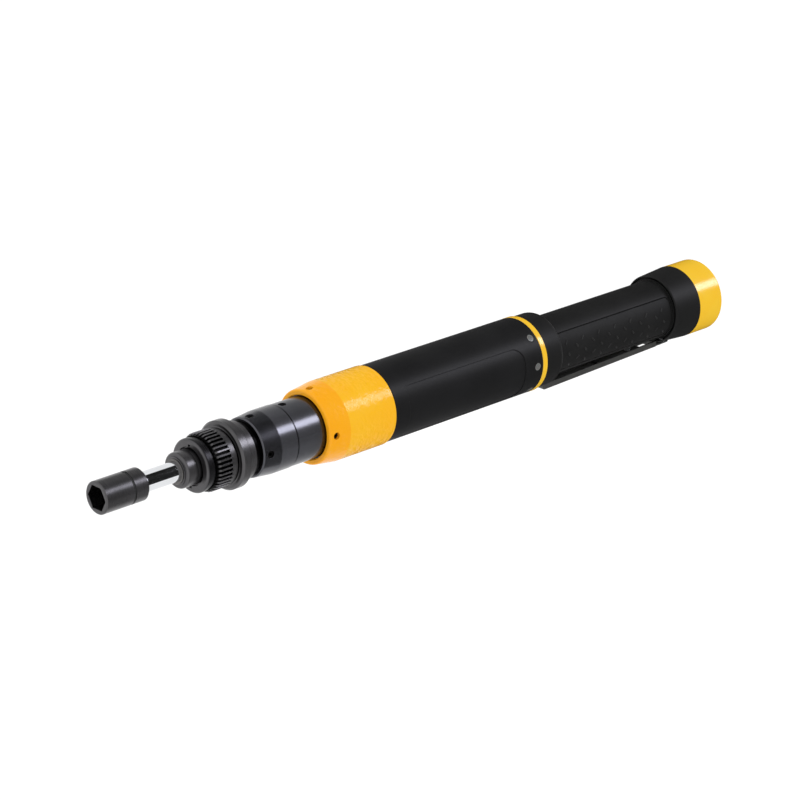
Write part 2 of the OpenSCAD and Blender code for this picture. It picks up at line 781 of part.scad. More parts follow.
module output_spindle() color(bright_steel) difference() {
    turned([
        [0, spindle_x0], [spindle_thread_r, spindle_x0], [spindle_thread_r, front_bearing_x0],
        [journal_r, front_bearing_x0], [journal_r, rear_bearing_x1], [shoulder_r, rear_bearing_x1],
        [shoulder_r, carrier_two_x0], [carrier_r, carrier_two_x0], [carrier_r, carrier_two_x1],
        [0, carrier_two_x1]]);
    bar(spindle_x0 - past, hex_bore_x0, rod_bore_r);
    translate([hex_bore_x0 - past, 0, 0]) rotate([0, 90, 0])
        cylinder(r = tail_r + run, h = hex_bore_x1 - hex_bore_x0 + past, $fn = 6);
    pin_holes(carrier_two_x0, carrier_two_x1);
}

module retaining_ring() color(black_oxide) difference() {
    inner = shoulder_r + clear;
    race_seat_r = bearing_r - race_t;
    groove_r = nut_d / 2 - nut_groove_h;
    turned(concat(
        [[inner, nut_sink_x], [nut_sink_r, nut_sink_x], [nut_sink_r, nut_x0]],
        arc(nut_d / 2 - nut_round, nut_x0 + nut_round, nut_round, -90, 0),
        [[nut_d / 2, nut_x0 + nut_rim_l], [groove_r, nut_x0 + nut_rim_l + nut_groove_h],
         [groove_r, spline_x0], [bearing_r - fit, spline_x0], [bearing_r - fit, front_bearing_x0],
         [race_seat_r, front_bearing_x0], [race_seat_r, spline_x0], [inner, spline_x0]]));
    around(2) translate([nut_x0 - past, -nut_slot_w / 2, inner])
        cube([nut_slot_depth + past, nut_slot_w, nut_slot_r - inner]);
}

module front_bearing() bearing(front_bearing_x0, front_bearing_x1, bearing_id / 2, bearing_r);

module bearing_spacer() color(bright_steel)
    tube(front_bearing_x1, rear_bearing_x0, shoulder_r, journal_r + fit);

module rear_bearing() bearing(rear_bearing_x0, rear_bearing_x1, bearing_id / 2, bearing_r);

module bearing_circlip() color(bright_steel) difference() {
    gap = 6;
    tube(rear_bearing_x1, rear_bearing_x1 + circlip_t, bearing_r + circlip_depth, bearing_r - race_t);
    translate([rear_bearing_x1 - past, -gap / 2, 0]) cube([circlip_t + 2 * past, gap, bearing_od]);
}

module nose_housing() color(black_oxide) {
    flange_r = flange_d / 2;
    root_r = spline_d / 2 - spline_tooth_h;
    core_r = root_r - tooth_lap;
    runout_r = spline_d / 2 - runout_step;
    seat_r = spline_d / 2 + seat_step;
    spacer_clear_r = bearing_r - race_t;
    groove_r = spigot_r - groove_step;
    intersection() {
        drawn(spline_x0, runout_x0 + past) difference() {
            polygon(spline_outline());
            circle(r = bearing_r + circlip_depth + tooth_lap, $fn = round_fn);
        }
        turned([
            [0, spline_x0], [root_r + tooth_lead, spline_x0], [spline_d / 2, teeth_x0],
            [spline_d / 2, relief_x0], [0, relief_x0]]);
    }
    turned([
        [bearing_r + fit, spline_x0], [core_r, spline_x0], [core_r, runout_x0], [runout_r, runout_x0],
        [runout_r, relief_x0], [core_r, relief_x0], [core_r, relief_x0 / 2], [seat_r, 0],
        [flange_r - flange_chamfer, 0],
        [flange_r, flange_chamfer], [flange_r, flange_l - flange_chamfer],
        [flange_r - flange_chamfer, flange_l], [neck_d / 2, flange_l], [neck_d / 2, neck_x1],
        [groove_r, neck_x1], [groove_r, case_x0], [spigot_r, case_x0], [spigot_r, spigot_x1],
        [bearing_r + fit, spigot_x1], [bearing_r + fit, rear_bearing_x1 + circlip_t + fit],
        [bearing_r + circlip_depth + fit, rear_bearing_x1 + circlip_t + fit],
        [bearing_r + circlip_depth + fit, rear_bearing_x1], [bearing_r + fit, rear_bearing_x1],
        [bearing_r + fit, rear_bearing_x0], [spacer_clear_r, rear_bearing_x0],
        [spacer_clear_r, front_bearing_x1], [bearing_r + fit, front_bearing_x1]]);
}

module gear_case_front() color(gunmetal) difference() {
    edge = 0.7;
    turned([
        [spigot_r + fit, case_x0], [case_front_d / 2 - edge, case_x0], [case_front_d / 2, case_x0 + edge],
        [case_r, case_x0 + case_cone_l], [case_r, case_joint_x - joint_v],
        [case_r - joint_v, case_joint_x], [case_lap_r + 2 * fit, case_joint_x],
        [case_lap_r + 2 * fit, case_joint_x - case_lap], [ring_gear_r + fit, case_joint_x - case_lap],
        [ring_gear_r + fit, ring_gear_x0], [case_shoulder_r, ring_gear_x0], [case_shoulder_r, spigot_x1],
        [spigot_r + fit, spigot_x1]]);
    around(4) radial(case_screw_x, case_screw_d / 2, spigot_r - past, case_d);
}

module gear_case_rear() color(gunmetal) difference() {
    turned([
        [ring_gear_r + fit, case_joint_x - case_lap], [case_lap_r, case_joint_x - case_lap],
        [case_lap_r, case_joint_x], [case_rear_r - joint_v, case_joint_x], [case_rear_r, case_joint_x + joint_v],
        [case_rear_r, case_flange_x0],
        [case_flange_r, case_flange_x0], [case_flange_r, case_flange_x1], [case_rear_bore_r, case_flange_x1],
        [case_rear_bore_r, ring_gear_x1], [ring_gear_r + fit, ring_gear_x1]]);
    around(2) radial(case_pin_x, case_screw_d / 2, ring_gear_r - past, case_d);
    around(4) radial(cap_screw_x, cap_screw_d / 2 + fit, case_flange_r - cap_screw_in - fit, case_d);
    around(transducer_screws_count, transducer_screws_turn) translate([0, 0, transducer_screw_circle])
        bar(case_flange_x1 - transducer_thread_l - clear, case_flange_x1 + past, transducer_screw_r + fit);
}

module case_set_screws() color(black_oxide) {
    cone_r = case_front_d / 2 + (case_r - case_front_d / 2) * (case_screw_x - case_x0) / case_cone_l;
    around(4) set_screw(case_screw_x, case_screw_d / 2 - fit, spigot_r + fit, cone_r - screw_sink);
    around(2) set_screw(case_pin_x, case_screw_d / 2 - fit, ring_gear_r + fit, case_rear_r - screw_sink);
}

module ring_gear() color(bright_steel) drawn(ring_gear_x0, ring_gear_x1) difference() {
    circle(r = ring_gear_r, $fn = round_fn);
    polygon(ring_outline());
}

module planet_two_a() planet(planet_two_x0, 0);
module planet_two_b() planet(planet_two_x0, 1);
module planet_two_c() planet(planet_two_x0, 2);
module planet_pins_two() planet_pins(carrier_two_x0, planet_two_x1 + fit);

module carrier_one() color(bright_steel) difference() {
    union() {
        bar(carrier_one_x0, carrier_one_x1, carrier_r);
        drawn(planet_two_x0, carrier_one_x0 + past) polygon(pinion_outline(sun_teeth));
    }
    pin_holes(carrier_one_x0, carrier_one_x1);
}

module planet_one_a() planet(planet_one_x0, 0);
module planet_one_b() planet(planet_one_x0, 1);
module planet_one_c() planet(planet_one_x0, 2);
module planet_pins_one() planet_pins(carrier_one_x0, planet_one_x1 + fit);

module rotor_shaft() color(bright_steel) {
    core_lap = 1;
    drawn(planet_one_x0, ring_gear_x1) polygon(pinion_outline(sun_teeth));
    turned([
        [0, ring_gear_x1], [shaft_r, ring_gear_x1], [shaft_r, stator_x0 + core_lap],
        [rotor_core_r, stator_x0 + core_lap], [rotor_core_r, stator_x1 - core_lap],
        [shaft_r, stator_x1 - core_lap], [shaft_r, rear_plate_x0], [shaft_rear_r, rear_plate_x0],
        [shaft_rear_r, shaft_x1], [0, shaft_x1]]);
}

module rotor_magnets() color(gunmetal) {
    pole_gap = 1.6;
    core_lap = 1;
    difference() {
        tube(stator_x0 + core_lap, stator_x1 - core_lap, magnet_r, magnet_r - magnet_t);
        around(2) translate([stator_x0, -pole_gap / 2, -body_d / 2]) cube([stator_l, pole_gap, body_d]);
        rotate([90, 0, 0]) translate([stator_x0, -pole_gap / 2, -body_d / 2])
            cube([stator_l, pole_gap, body_d]);
    }
}

module torque_transducer() color(aluminium) difference() {
    inner = transducer_tube_r - transducer_wall;
    turned([
        [inner, transducer_x0], [plate_r, transducer_x0], [plate_r, transducer_x0 + transducer_flange_t],
        [transducer_tube_r, transducer_x0 + transducer_flange_t],
        [transducer_tube_r, transducer_x1 - transducer_flange_t],
        [plate_r, transducer_x1 - transducer_flange_t], [plate_r, transducer_x1], [inner, transducer_x1]]);
    around(transducer_screws_count, transducer_screws_turn) translate([0, 0, transducer_screw_circle])
        bar(transducer_x0 - past, transducer_x1 + past, transducer_screw_r + fit);
}

module transducer_screws() color(bright_steel) {
    head_t = 1.6;
    head_r = 1.9;
    around(transducer_screws_count, transducer_screws_turn) translate([0, 0, transducer_screw_circle]) {
        bar(transducer_x0 - transducer_thread_l, transducer_x0 + transducer_flange_t, transducer_screw_r);
        bar(transducer_x0 + transducer_flange_t, transducer_x0 + transducer_flange_t + head_t, head_r);
        bar(transducer_x1 - transducer_flange_t, transducer_x1 + transducer_thread_l, transducer_screw_r);
        bar(transducer_x1 - transducer_flange_t - head_t, transducer_x1 - transducer_flange_t, head_r);
    }
}

module motor_front_plate() color(aluminium) difference() {
    seat_r = motor_front_od / 2 + fit;
    turned([
        [shaft_r + past, front_plate_x0], [plate_r, front_plate_x0], [plate_r, front_plate_x1],
        [seat_r, front_plate_x1], [seat_r, motor_front_bearing_x0], [shaft_r + past, motor_front_bearing_x0]]);
    around(transducer_screws_count, transducer_screws_turn) translate([0, 0, transducer_screw_circle])
        bar(front_plate_x0 - past, front_plate_x0 + transducer_thread_l + clear, transducer_screw_r + fit);
}

module motor_front_bearing()
    bearing(motor_front_bearing_x0, motor_front_bearing_x1, motor_front_id / 2, motor_front_od / 2);

// One slot of the stator, with its narrow mouth, on the +X side of a Y and Z drawing
function slot_outline() = let (
        pitch_angle = 180 / stator_teeth,
        low = stator_bore_r + tooth_tip_t,
        mouth = 0.6,
        low_half = low * tan(pitch_angle) - tooth_w / 2 / cos(pitch_angle),
        high_half = stator_slot_r * tan(pitch_angle) - tooth_w / 2 / cos(pitch_angle))
    [[stator_bore_r - past, -mouth], [low, -mouth], [low, -low_half], [stator_slot_r, -high_half],
     [stator_slot_r, high_half], [low, low_half], [low, mouth], [stator_bore_r - past, mouth]];

module stator_core() color(gunmetal) drawn(stator_x0, stator_x1) difference() {
    circle(r = plate_r, $fn = round_fn);
    circle(r = stator_bore_r, $fn = round_fn);
    for (i = [0:stator_teeth - 1]) rotate(360 * (i + 0.5) / stator_teeth) polygon(slot_outline());
}

module stator_coils() color(copper) for (i = [0:stator_teeth - 1])
    rotate([360 * i / stator_teeth, 0, 0]) difference() {
        inner_w = tooth_w + 2 * fit;
        outer_w = inner_w + 2 * coil_t;
        y0 = stator_slot_r - coil_h - 0.4;
        translate([stator_x0 - end_turn_l, y0, -outer_w / 2])
            cube([stator_l + 2 * end_turn_l, coil_h, outer_w]);
        translate([stator_x0 - fit, y0 - past, -inner_w / 2])
            cube([stator_l + 2 * fit, coil_h + 2 * past, inner_w]);
    }

module motor_rear_plate() color(aluminium) {
    seat_r = motor_rear_od / 2 + fit;
    turned([
        [shaft_r + past, rear_plate_x0], [plate_r, rear_plate_x0], [plate_r, rear_plate_x1],
        [seat_r, rear_plate_x1], [seat_r, motor_rear_bearing_x0], [shaft_r + past, motor_rear_bearing_x0]]);
}

module motor_rear_bearing()
    bearing(motor_rear_bearing_x0, motor_rear_bearing_x1, motor_rear_id / 2, motor_rear_od / 2);

module resolver_stator() color(copper) tube(resolver_x0, resolver_x0 + resolver_l, resolver_r, resolver_bore_r);

module resolver_rotor() color(bright_steel)
    tube(resolver_x0 + past, resolver_x0 + resolver_l - past, resolver_bore_r - air_gap, shaft_rear_r + fit);

module front_cap() color(amber) difference() {
    front_r = cap_front_d / 2;
    rear_edge = 0.5;
    turned(concat(
        [[case_rear_r + clear, cap_x0 + cap_lip], [case_rear_r + clear + cap_lip, cap_x0]],
        arc(front_r - cap_round, cap_x0 + cap_round, cap_round, -90, 0),
        [[cap_r, cap_x0 + cap_cone_l], [cap_r, cap_x1 - rear_edge], [cap_r - rear_edge, cap_x1],
         [cap_lap_r + fit, cap_x1], [cap_lap_r + fit, cap_x1 - cap_lap], [cap_cavity_r, cap_x1 - cap_lap],
         [cap_cavity_r, case_flange_x0], [case_rear_r + clear, case_flange_x0]]));
    around(4) radial(cap_screw_x, cap_screw_d / 2 + fit, case_rear_r, cap_d);
}

module cap_set_screws() color(black_oxide) {
    cone_r = cap_front_d / 2 + (cap_r - cap_front_d / 2) * (cap_screw_x - cap_x0) / cap_cone_l;
    around(4) set_screw(cap_screw_x, cap_screw_d / 2, case_flange_r - cap_screw_in, cone_r - cap_screw_sink);
}

// The recess of one side panel, as a cutting tool on the -Y side
module panel_cut() difference() {
    top = body_r * sin(panel_top_angle);
    low = -body_r * sin(panel_low_angle);
    half_w = (top - low) / 2;
    translate([0, -body_r * cos(panel_low_angle) / 2, low + half_w]) rotate([90, 0, 0]) linear_extrude(body_d)
        polygon(rounded_outline(panel_x0, panel_x0 + panel_l, half_w, panel_round_front, panel_round_rear));
    bar(panel_x0 - past, panel_x0 + panel_l + past, body_r - panel_depth);
}

// Copies of the children at the indicator lenses, three on each side of the housing
module lens_places() for (side = [-90, 90], i = [-1:1]) rotate([side + i * lens_step, 0, 0]) children();

module motor_housing() color(satin_black) difference() {
    turned([
        [body_bore_r, cap_x1 - cap_lap], [cap_lap_r, cap_x1 - cap_lap], [cap_lap_r, cap_x1],
        [body_r - body_edge, cap_x1], [body_r, cap_x1 + body_edge],
        [body_r, body_x1], [rear_bore_r, body_x1], [rear_bore_r, rear_plate_x1],
        [body_bore_r, rear_plate_x1]]);
    panel_cut();
    mirror([0, 1, 0]) panel_cut();
    lens_places() radial(lens_x, lens_d / 2 + fit, lens_flange_r - 2, body_d);
}

module indicator_lenses() color(lens_grey) intersection() {
    lens_places() radial(lens_x, lens_d / 2, lens_flange_r, body_d);
    bar(lens_x - lens_d, lens_x + lens_d, body_r);
}

module indicator_board() color(board_green) {
    light_l = 2.4;
    light_w = 2;
    light_h = 2.5;
    light_drop = 3;
    board_x0 = body_x1 - board_t;
    tube(board_x0, body_x1, rear_bore_r - fit, rear_bore_r - board_w);
    lens_places() translate([lens_x - light_l / 2, -light_w / 2, rear_bore_r - light_drop])
        cube([board_x0 - lens_x + light_l / 2, light_w, light_h]);
}

module indicator_ring() color(amber) {
    edge = 0.4;
    turned([
        [rear_bore_r - ring_in, body_x1], [ring_d / 2 - edge, body_x1], [ring_d / 2, body_x1 + edge],
        [ring_d / 2, ring_x1 - edge], [ring_d / 2 - edge, ring_x1], [rear_bore_r - ring_in, ring_x1]]);
}

module handle_collar() color(satin_black) difference() {
    turned(concat(
        [[handle_r + fit, ring_x1], [collar_r, ring_x1]],
        arc(collar_r - collar_round, collar_x1 - collar_round, collar_round, 0, 90),
        [[handle_r + fit, collar_x1]]));
    translate([slot_x0, -lever_w / 2 - slot_side, -collar_d])
        cube([collar_l, lever_w + 2 * slot_side, collar_d - slot_top]);
}

// A grip panel's place on the handle, on the -Y side; the outline is grown on every side by grow
module grip_sector(inner, grow) difference() {
    half_w = handle_r * sin(grip_half_angle) + grow;
    translate([0, -handle_r * cos(grip_half_angle) / 2, 0]) rotate([90, 0, 0]) linear_extrude(handle_d)
        polygon(rounded_outline(grip_x0 - grow, grip_x1 + grow, half_w, grip_round_front + grow,
            grip_round_rear + grow));
    bar(grip_x0 - grip_margin, grip_x1 + grip_margin, inner);
}

module handle_shell() color(satin_black) difference() {
    union() {
        tube(handle_x0, handle_x1, handle_r, handle_bore_r);
        intersection() {
            translate([0, rail_w / 2, 0]) rotate([90, 0, 0]) linear_extrude(rail_w) polygon([
                [collar_x1, -handle_bore_r - handle_wall / 2], [collar_x1, -rail_drop_front],
                [rail_x1, -rail_drop_rear], [rail_x1, -handle_bore_r - handle_wall / 2]]);
            tube(handle_x0, handle_x1, handle_d, handle_bore_r + handle_wall / 4);
        }
    }
    grip_sector(handle_r - grip_t, grip_gap);
    mirror([0, 1, 0]) grip_sector(handle_r - grip_t, grip_gap);
    translate([plunger_x, 0, -handle_d]) cylinder(r = plunger_r + run, h = handle_d, $fn = small_fn);
    translate([lever_spring_x, 0, -handle_d])
        cylinder(r = lever_spring_pocket_r, h = handle_d - lever_spring_top, $fn = small_fn);
}

// One grip panel, on the -Y side
module grip_panel() intersection() {
    grip_sector(handle_r - grip_t + fit, 0);
    bar(grip_x0 - past, grip_x1 + past, handle_r);
}

module grip_panels() color(rubber_black) {
    grip_panel();
    mirror([0, 1, 0]) grip_panel();
}

module start_lever() color(gunmetal) difference() {
    tip_round = 2;
    inner_w = lever_w - 2 * lever_t;
    wall_end = lever_x1;
    root_x = wall_end - lever_root_l;
    union() {
        translate([0, lever_w / 2, 0]) rotate([90, 0, 0]) linear_extrude(lever_w) polygon(concat(
            [[lever_x0, lever_h - lever_tip_drop]],
            arc(lever_x0 + tip_round, tip_round - lever_drop(lever_x0 + tip_round), tip_round, 180, 270),
            [[wall_end, -lever_rear_drop], [wall_end, lever_h - lever_rear_drop]]));
        translate([0, hinge_boss_w / 2, 0]) rotate([90, 0, 0]) linear_extrude(hinge_boss_w) polygon([
            [root_x, -lever_drop(root_x)], [wall_end, -lever_rear_drop],
            [pivot_x + hinge_boss_r * 0.6, pivot_z - hinge_boss_r * 0.8], [pivot_x, pivot_z + hinge_boss_r],
            [wall_end, lever_h - lever_rear_drop], [root_x, lever_h - lever_drop(root_x)]]);
        translate([pivot_x, hinge_boss_w / 2, pivot_z]) rotate([90, 0, 0])
            cylinder(r = hinge_boss_r, h = hinge_boss_w, $fn = small_fn);
        translate([0, hinge_boss_w / 2, 0]) rotate([90, 0, 0]) linear_extrude(hinge_boss_w) polygon([
            [root_x, -lever_drop(root_x)], [lever_tongue_x1, -lever_drop(lever_tongue_x1)],
            [lever_tongue_x1, lever_tongue_t - lever_drop(lever_tongue_x1)],
            [root_x, lever_tongue_t - lever_drop(root_x)]]);
    }
    translate([0, inner_w / 2, 0]) rotate([90, 0, 0]) linear_extrude(inner_w) polygon([
        [lever_x0 + lever_t, lever_t - lever_drop(lever_x0 + lever_t)],
        [root_x, lever_t - lever_drop(root_x)], [root_x, 0], [lever_x0 + lever_t, 0]]);
    translate([lever_window_x, -lever_window_w / 2, -lever_tip_drop - past])
        cube([lever_window_l, lever_window_w, lever_tip_drop]);
    translate([pivot_x, lever_w, pivot_z]) rotate([90, 0, 0])
        cylinder(r = lever_pin_r + run, h = 2 * lever_w, $fn = small_fn);
}

module lever_pin() color(bright_steel) translate([pivot_x, lever_pin_l / 2, pivot_z]) rotate([90, 0, 0])
    cylinder(r = lever_pin_r, h = lever_pin_l, $fn = small_fn);

module lever_spring() color(bright_steel) {
    foot_drop = lever_drop(lever_spring_x + lever_spring_r) - lever_t - run;
    translate([lever_spring_x, 0, -foot_drop])
        coil_spring(lever_spring_r, lever_wire_d, foot_drop - lever_spring_top - run, lever_spring_turns);
}

module switch_body() color(satin_black) difference() {
    translate([plunger_x - switch_l / 2, -switch_w / 2, -switch_drop]) cube([switch_l, switch_w, switch_h]);
    translate([plunger_x, 0, -switch_drop - past])
        cylinder(r = plunger_r + run, h = past + plunger_in + plunger_travel + clear, $fn = small_fn);
}

module switch_plunger() color(lens_grey) translate([plunger_x, 0, -plunger_drop]) {
    tip = 0.6;
    cylinder(r1 = plunger_r - tip, r2 = plunger_r, h = tip, $fn = small_fn);
    translate([0, 0, tip]) cylinder(r = plunger_r, h = plunger_drop - switch_drop + plunger_in - tip, $fn = small_fn);
}

module control_board() color(board_green) {
    part_w = 9;
    part_h = 2.4;
    part_pitch = 16;
    can_r = 3.6;
    can_l = 9;
    can_out = 5;
    can_in = can_r + 4;
    part_lap = 0.1;
    translate([control_x0, -control_half_w, control_z]) cube([control_l, 2 * control_half_w, control_t]);
    for (i = [0:2], side = [-1, 1])
        translate([control_x0 + part_pitch * (i + 0.5), side * part_w * 0.8 - part_w / 2, control_z + control_t - part_lap])
            cube([part_w, part_w, part_h]);
    for (side = [-1, 1])
        translate([control_x0 + control_l - can_in, side * can_out, control_z + control_t - part_lap])
            cylinder(r = can_r, h = can_l, $fn = small_fn);
}

module tail_flare() color(satin_black) difference() {
    lap_r = tail_lap_r + fit;
    turned(concat(
        [[flare_bore_r, handle_x1 - flare_spigot_l], [handle_bore_r - fit, handle_x1 - flare_spigot_l],
         [handle_bore_r - fit, handle_x1], [relief_in_r, handle_x1], [relief_in_r, handle_x1 + relief_depth],
         [relief_out_r, handle_x1 + relief_depth], [relief_out_r, handle_x1]],
        arc(flare_front_r - flare_round, handle_x1 + flare_round, flare_round, -90, 0),
        [[flare_r, flare_x1], [lap_r, flare_x1], [lap_r, flare_x1 - tail_lap],
         [flare_bore_r, flare_x1 - tail_lap]]));
    translate([handle_x1 - past, -hinge_boss_w / 2 - slot_side, -flare_d])
        cube([pivot_x - handle_x1 + hinge_boss_r + slot_side + past, hinge_boss_w + 2 * slot_side,
              flare_d + pivot_z + hinge_boss_r + slot_side]);
    translate([handle_x1 - past, -hinge_boss_w / 2 - slot_side, -flare_d])
        cube([lever_tongue_l + slot_side + past, hinge_boss_w + 2 * slot_side,
              flare_d - lever_rear_drop + lever_tongue_t + 2 * slot_side]);
    translate([pivot_x, flare_d / 2, pivot_z]) rotate([90, 0, 0])
        cylinder(r = lever_pin_r + fit, h = flare_d, $fn = small_fn);
}

module tail_cap() color(amber) difference() {
    turned(concat(
        [[tail_lap_r - tail_lap_wall, flare_x1 - tail_lap], [tail_lap_r, flare_x1 - tail_lap],
         [tail_lap_r, flare_x1], [tail_r0, flare_x1]],
        arc(tail_r0 - tail_round, tail_x1 - tail_round, tail_round, 0, 90),
        [[recess_d / 2, tail_x1], [recess_d / 2, tail_floor_x1], [receptacle_bore_r, tail_floor_x1],
         [receptacle_bore_r, tail_floor_x0], [tail_lap_r - tail_lap_wall, tail_floor_x0]]));
    around(connector_screw_count, connector_screw_turn) translate([0, 0, connector_screw_circle])
        bar(tail_floor_x1 - connector_screw_depth - clear, tail_floor_x1 + past, connector_screw_r + fit);
}

module connector_shell() color(aluminium) {
    key_w = 1.6;
    key_h = 0.8;
    flange_x1 = receptacle_x0 + receptacle_flange_t;
    difference() {
        turned([
            [receptacle_bore_r, receptacle_x0], [receptacle_flange_r, receptacle_x0],
            [receptacle_flange_r, flange_x1], [receptacle_r, flange_x1],
            [receptacle_r, receptacle_x1 - receptacle_edge], [receptacle_r - receptacle_edge, receptacle_x1],
            [receptacle_bore_r, receptacle_x1]]);
        around(connector_screw_count, connector_screw_turn) translate([0, 0, connector_screw_circle]) {
            bar(receptacle_x0 - past, flange_x1 + past, connector_screw_r + fit);
            bar(flange_x1 - connector_head_t, flange_x1 + past, connector_head_r + fit);
        }
    }
    translate([insert_x1 + fit, -key_w / 2, receptacle_bore_r - key_h])
        cube([receptacle_x1 - insert_x1 - past, key_w, key_h + 0.5]);
}

module connector_insert() color(rubber_black) bar(insert_x0, insert_x1, receptacle_bore_r - fit);

module connector_pins() color([0.85, 0.7, 0.35]) for (ring = contact_rings)
    around(ring[0]) translate([0, 0, ring[1] * receptacle_bore_r]) bar(insert_x1, insert_x1 + contact_l, contact_r);

module connector_screws() color(bright_steel) {
    flange_x1 = receptacle_x0 + receptacle_flange_t;
    around(connector_screw_count, connector_screw_turn) translate([0, 0, connector_screw_circle]) difference() {
        union() {
            bar(tail_floor_x1 - connector_screw_depth, flange_x1, connector_screw_r);
            bar(flange_x1 - connector_head_t, flange_x1, connector_head_r);
        }
        translate([flange_x1 - connector_head_t / 2, 0, 0]) rotate([0, 90, 0])
            cylinder(r = connector_head_r * 0.55, h = connector_head_t, $fn = 6);
    }
}

socket();
socket_pin();
socket_o_ring();
drive_rod();
float_spring();
rod_wiper();
nose_collar();
output_spindle();
retaining_ring();
front_bearing();
bearing_spacer();
rear_bearing();
bearing_circlip();
nose_housing();
gear_case_front();
gear_case_rear();
case_set_screws();
ring_gear();
planet_two_a();
planet_two_b();
planet_two_c();
planet_pins_two();
carrier_one();
planet_one_a();
planet_one_b();
planet_one_c();
planet_pins_one();
rotor_shaft();
rotor_magnets();
torque_transducer();
transducer_screws();
motor_front_plate();
motor_front_bearing();
stator_core();
stator_coils();
motor_rear_plate();
motor_rear_bearing();
resolver_stator();
resolver_rotor();
front_cap();
cap_set_screws();
motor_housing();
indicator_lenses();
indicator_board();
indicator_ring();
handle_collar();
handle_shell();
grip_panels();
start_lever();
lever_pin();
lever_spring();
switch_body();
switch_plunger();
control_board();
tail_flare();
tail_cap();
connector_shell();
connector_insert();
connector_pins();
connector_screws();
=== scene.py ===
# %% [markdown]
# # Dressing an inline electric nutrunner
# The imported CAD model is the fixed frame: every solid already has its real shape, size and joint.
# Blender adds what CAD leaves out: the finishes, the fine moulded trim, the studio and the camera.
# The tool's axis is X, the socket points to -X, Z is up, and all lengths are metres.

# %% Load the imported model
import math

import bmesh
import bpy
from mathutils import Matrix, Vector


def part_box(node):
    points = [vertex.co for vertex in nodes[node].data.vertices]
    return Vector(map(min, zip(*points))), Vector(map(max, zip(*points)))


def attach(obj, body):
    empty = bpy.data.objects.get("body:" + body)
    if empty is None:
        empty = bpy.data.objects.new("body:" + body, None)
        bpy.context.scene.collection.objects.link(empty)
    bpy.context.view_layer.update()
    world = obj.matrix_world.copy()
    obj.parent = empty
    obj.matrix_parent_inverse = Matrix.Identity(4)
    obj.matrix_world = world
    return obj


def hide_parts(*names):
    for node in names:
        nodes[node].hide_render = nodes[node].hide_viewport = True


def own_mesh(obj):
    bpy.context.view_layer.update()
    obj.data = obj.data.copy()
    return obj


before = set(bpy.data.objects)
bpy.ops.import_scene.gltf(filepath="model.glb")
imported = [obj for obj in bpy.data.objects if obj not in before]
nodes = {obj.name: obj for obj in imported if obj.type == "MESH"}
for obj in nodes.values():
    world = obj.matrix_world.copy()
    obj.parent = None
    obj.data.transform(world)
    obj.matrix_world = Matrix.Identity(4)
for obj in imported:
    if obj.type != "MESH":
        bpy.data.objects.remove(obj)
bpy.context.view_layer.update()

# %% [markdown]
# ## The camera
# The camera stands in front of the socket, to the left of the tool and above it, as in the photograph.
# It could be placed by eye, but the round pieces give its place more closely: their diameters are known,
# and how they shrink towards the tail says how far away it was. A long lens keeps that shrinking small.
# The image is square, so the sensor width rules both ways.

# %% Camera
MM = 0.001
CAMERA_PLACE = (-0.9004, -1.0833, 0.5731)
CAMERA_TILT = 68.96
CAMERA_TURN = -43.7
LENS_MM = 126.0
SENSOR_MM = 36.0

camera_data = bpy.data.cameras.new("photo_camera")
camera_data.lens = LENS_MM
camera_data.sensor_width = SENSOR_MM
camera = bpy.data.objects.new("photo_camera", camera_data)
camera.location = CAMERA_PLACE
camera.rotation_euler = (math.radians(CAMERA_TILT), 0.0, math.radians(CAMERA_TURN))
bpy.context.scene.collection.objects.link(camera)
bpy.context.scene.camera = camera
bpy.context.scene.view_settings.view_transform = "Standard"
print("camera at", tuple(camera.location))

# %% [markdown]
# ## Colours and nodes
# Colours are written as sRGB hex, as a paint chart gives them, and one function turns them to the
# linear light that shaders work in. A second function adds a shader node: sockets are linked,
# numbers go on the input of that name, and anything else is a setting of the node.

# %% Helpers for colours and nodes
SRGB_KNEE = 0.04045
SRGB_SLOPE = 12.92
SRGB_LIFT = 0.055
SRGB_POWER = 2.4
SRGB_TOP = 255
HALF_GREY = "#808080"


def linear(hex_code):
    channels = [int(hex_code[i:i + 2], 16) / SRGB_TOP for i in (1, 3, 5)]
    light = []
    for c in channels:
        if c <= SRGB_KNEE:
            light.append(c / SRGB_SLOPE)
        else:
            light.append(((c + SRGB_LIFT) / (1 + SRGB_LIFT)) ** SRGB_POWER)
    return (*light, 1.0)


def add(tree, kind, settings):
    node = tree.nodes.new(kind)
    for name, value in settings.items():
        if isinstance(value, bpy.types.NodeSocket):
            tree.links.new(value, node.inputs[name])
        elif isinstance(name, int) or name in node.inputs:
            node.inputs[name].default_value = value
        else:
            setattr(node, name, value)
    return node


def per_metre(size_mm):
    return 1.0 / (size_mm * MM)


print("half grey in linear light:", [round(c, 3) for c in linear(HALF_GREY)])

# %% [markdown]
# ## How a finish is put together
# Every finish here has the same parts. A slow cloud shifts the colour a little, as handling, oil and
# moulding do. A fine grain changes the gloss and raises the surface: rings round the axis on a turned
# part, a pebbled skin on a moulded one. A small bevel catches the light along each edge.
# Pictures could be wrapped on the pieces instead. Noise that is worked out in space needs no unwrapping,
# stays sharp up close, and takes its size from real millimetres. Lathe rings and pebbles finer than about
# a quarter of a millimetre wouldn't show in the picture, so they are drawn as coarse as that.

# %% Build one finish
CLOUD_LOW = 0.3
CLOUD_HIGH = 0.7
CLOUD_DETAIL = 3.0
GRAIN_DETAIL = 2.0
BEVEL_SAMPLES = 4


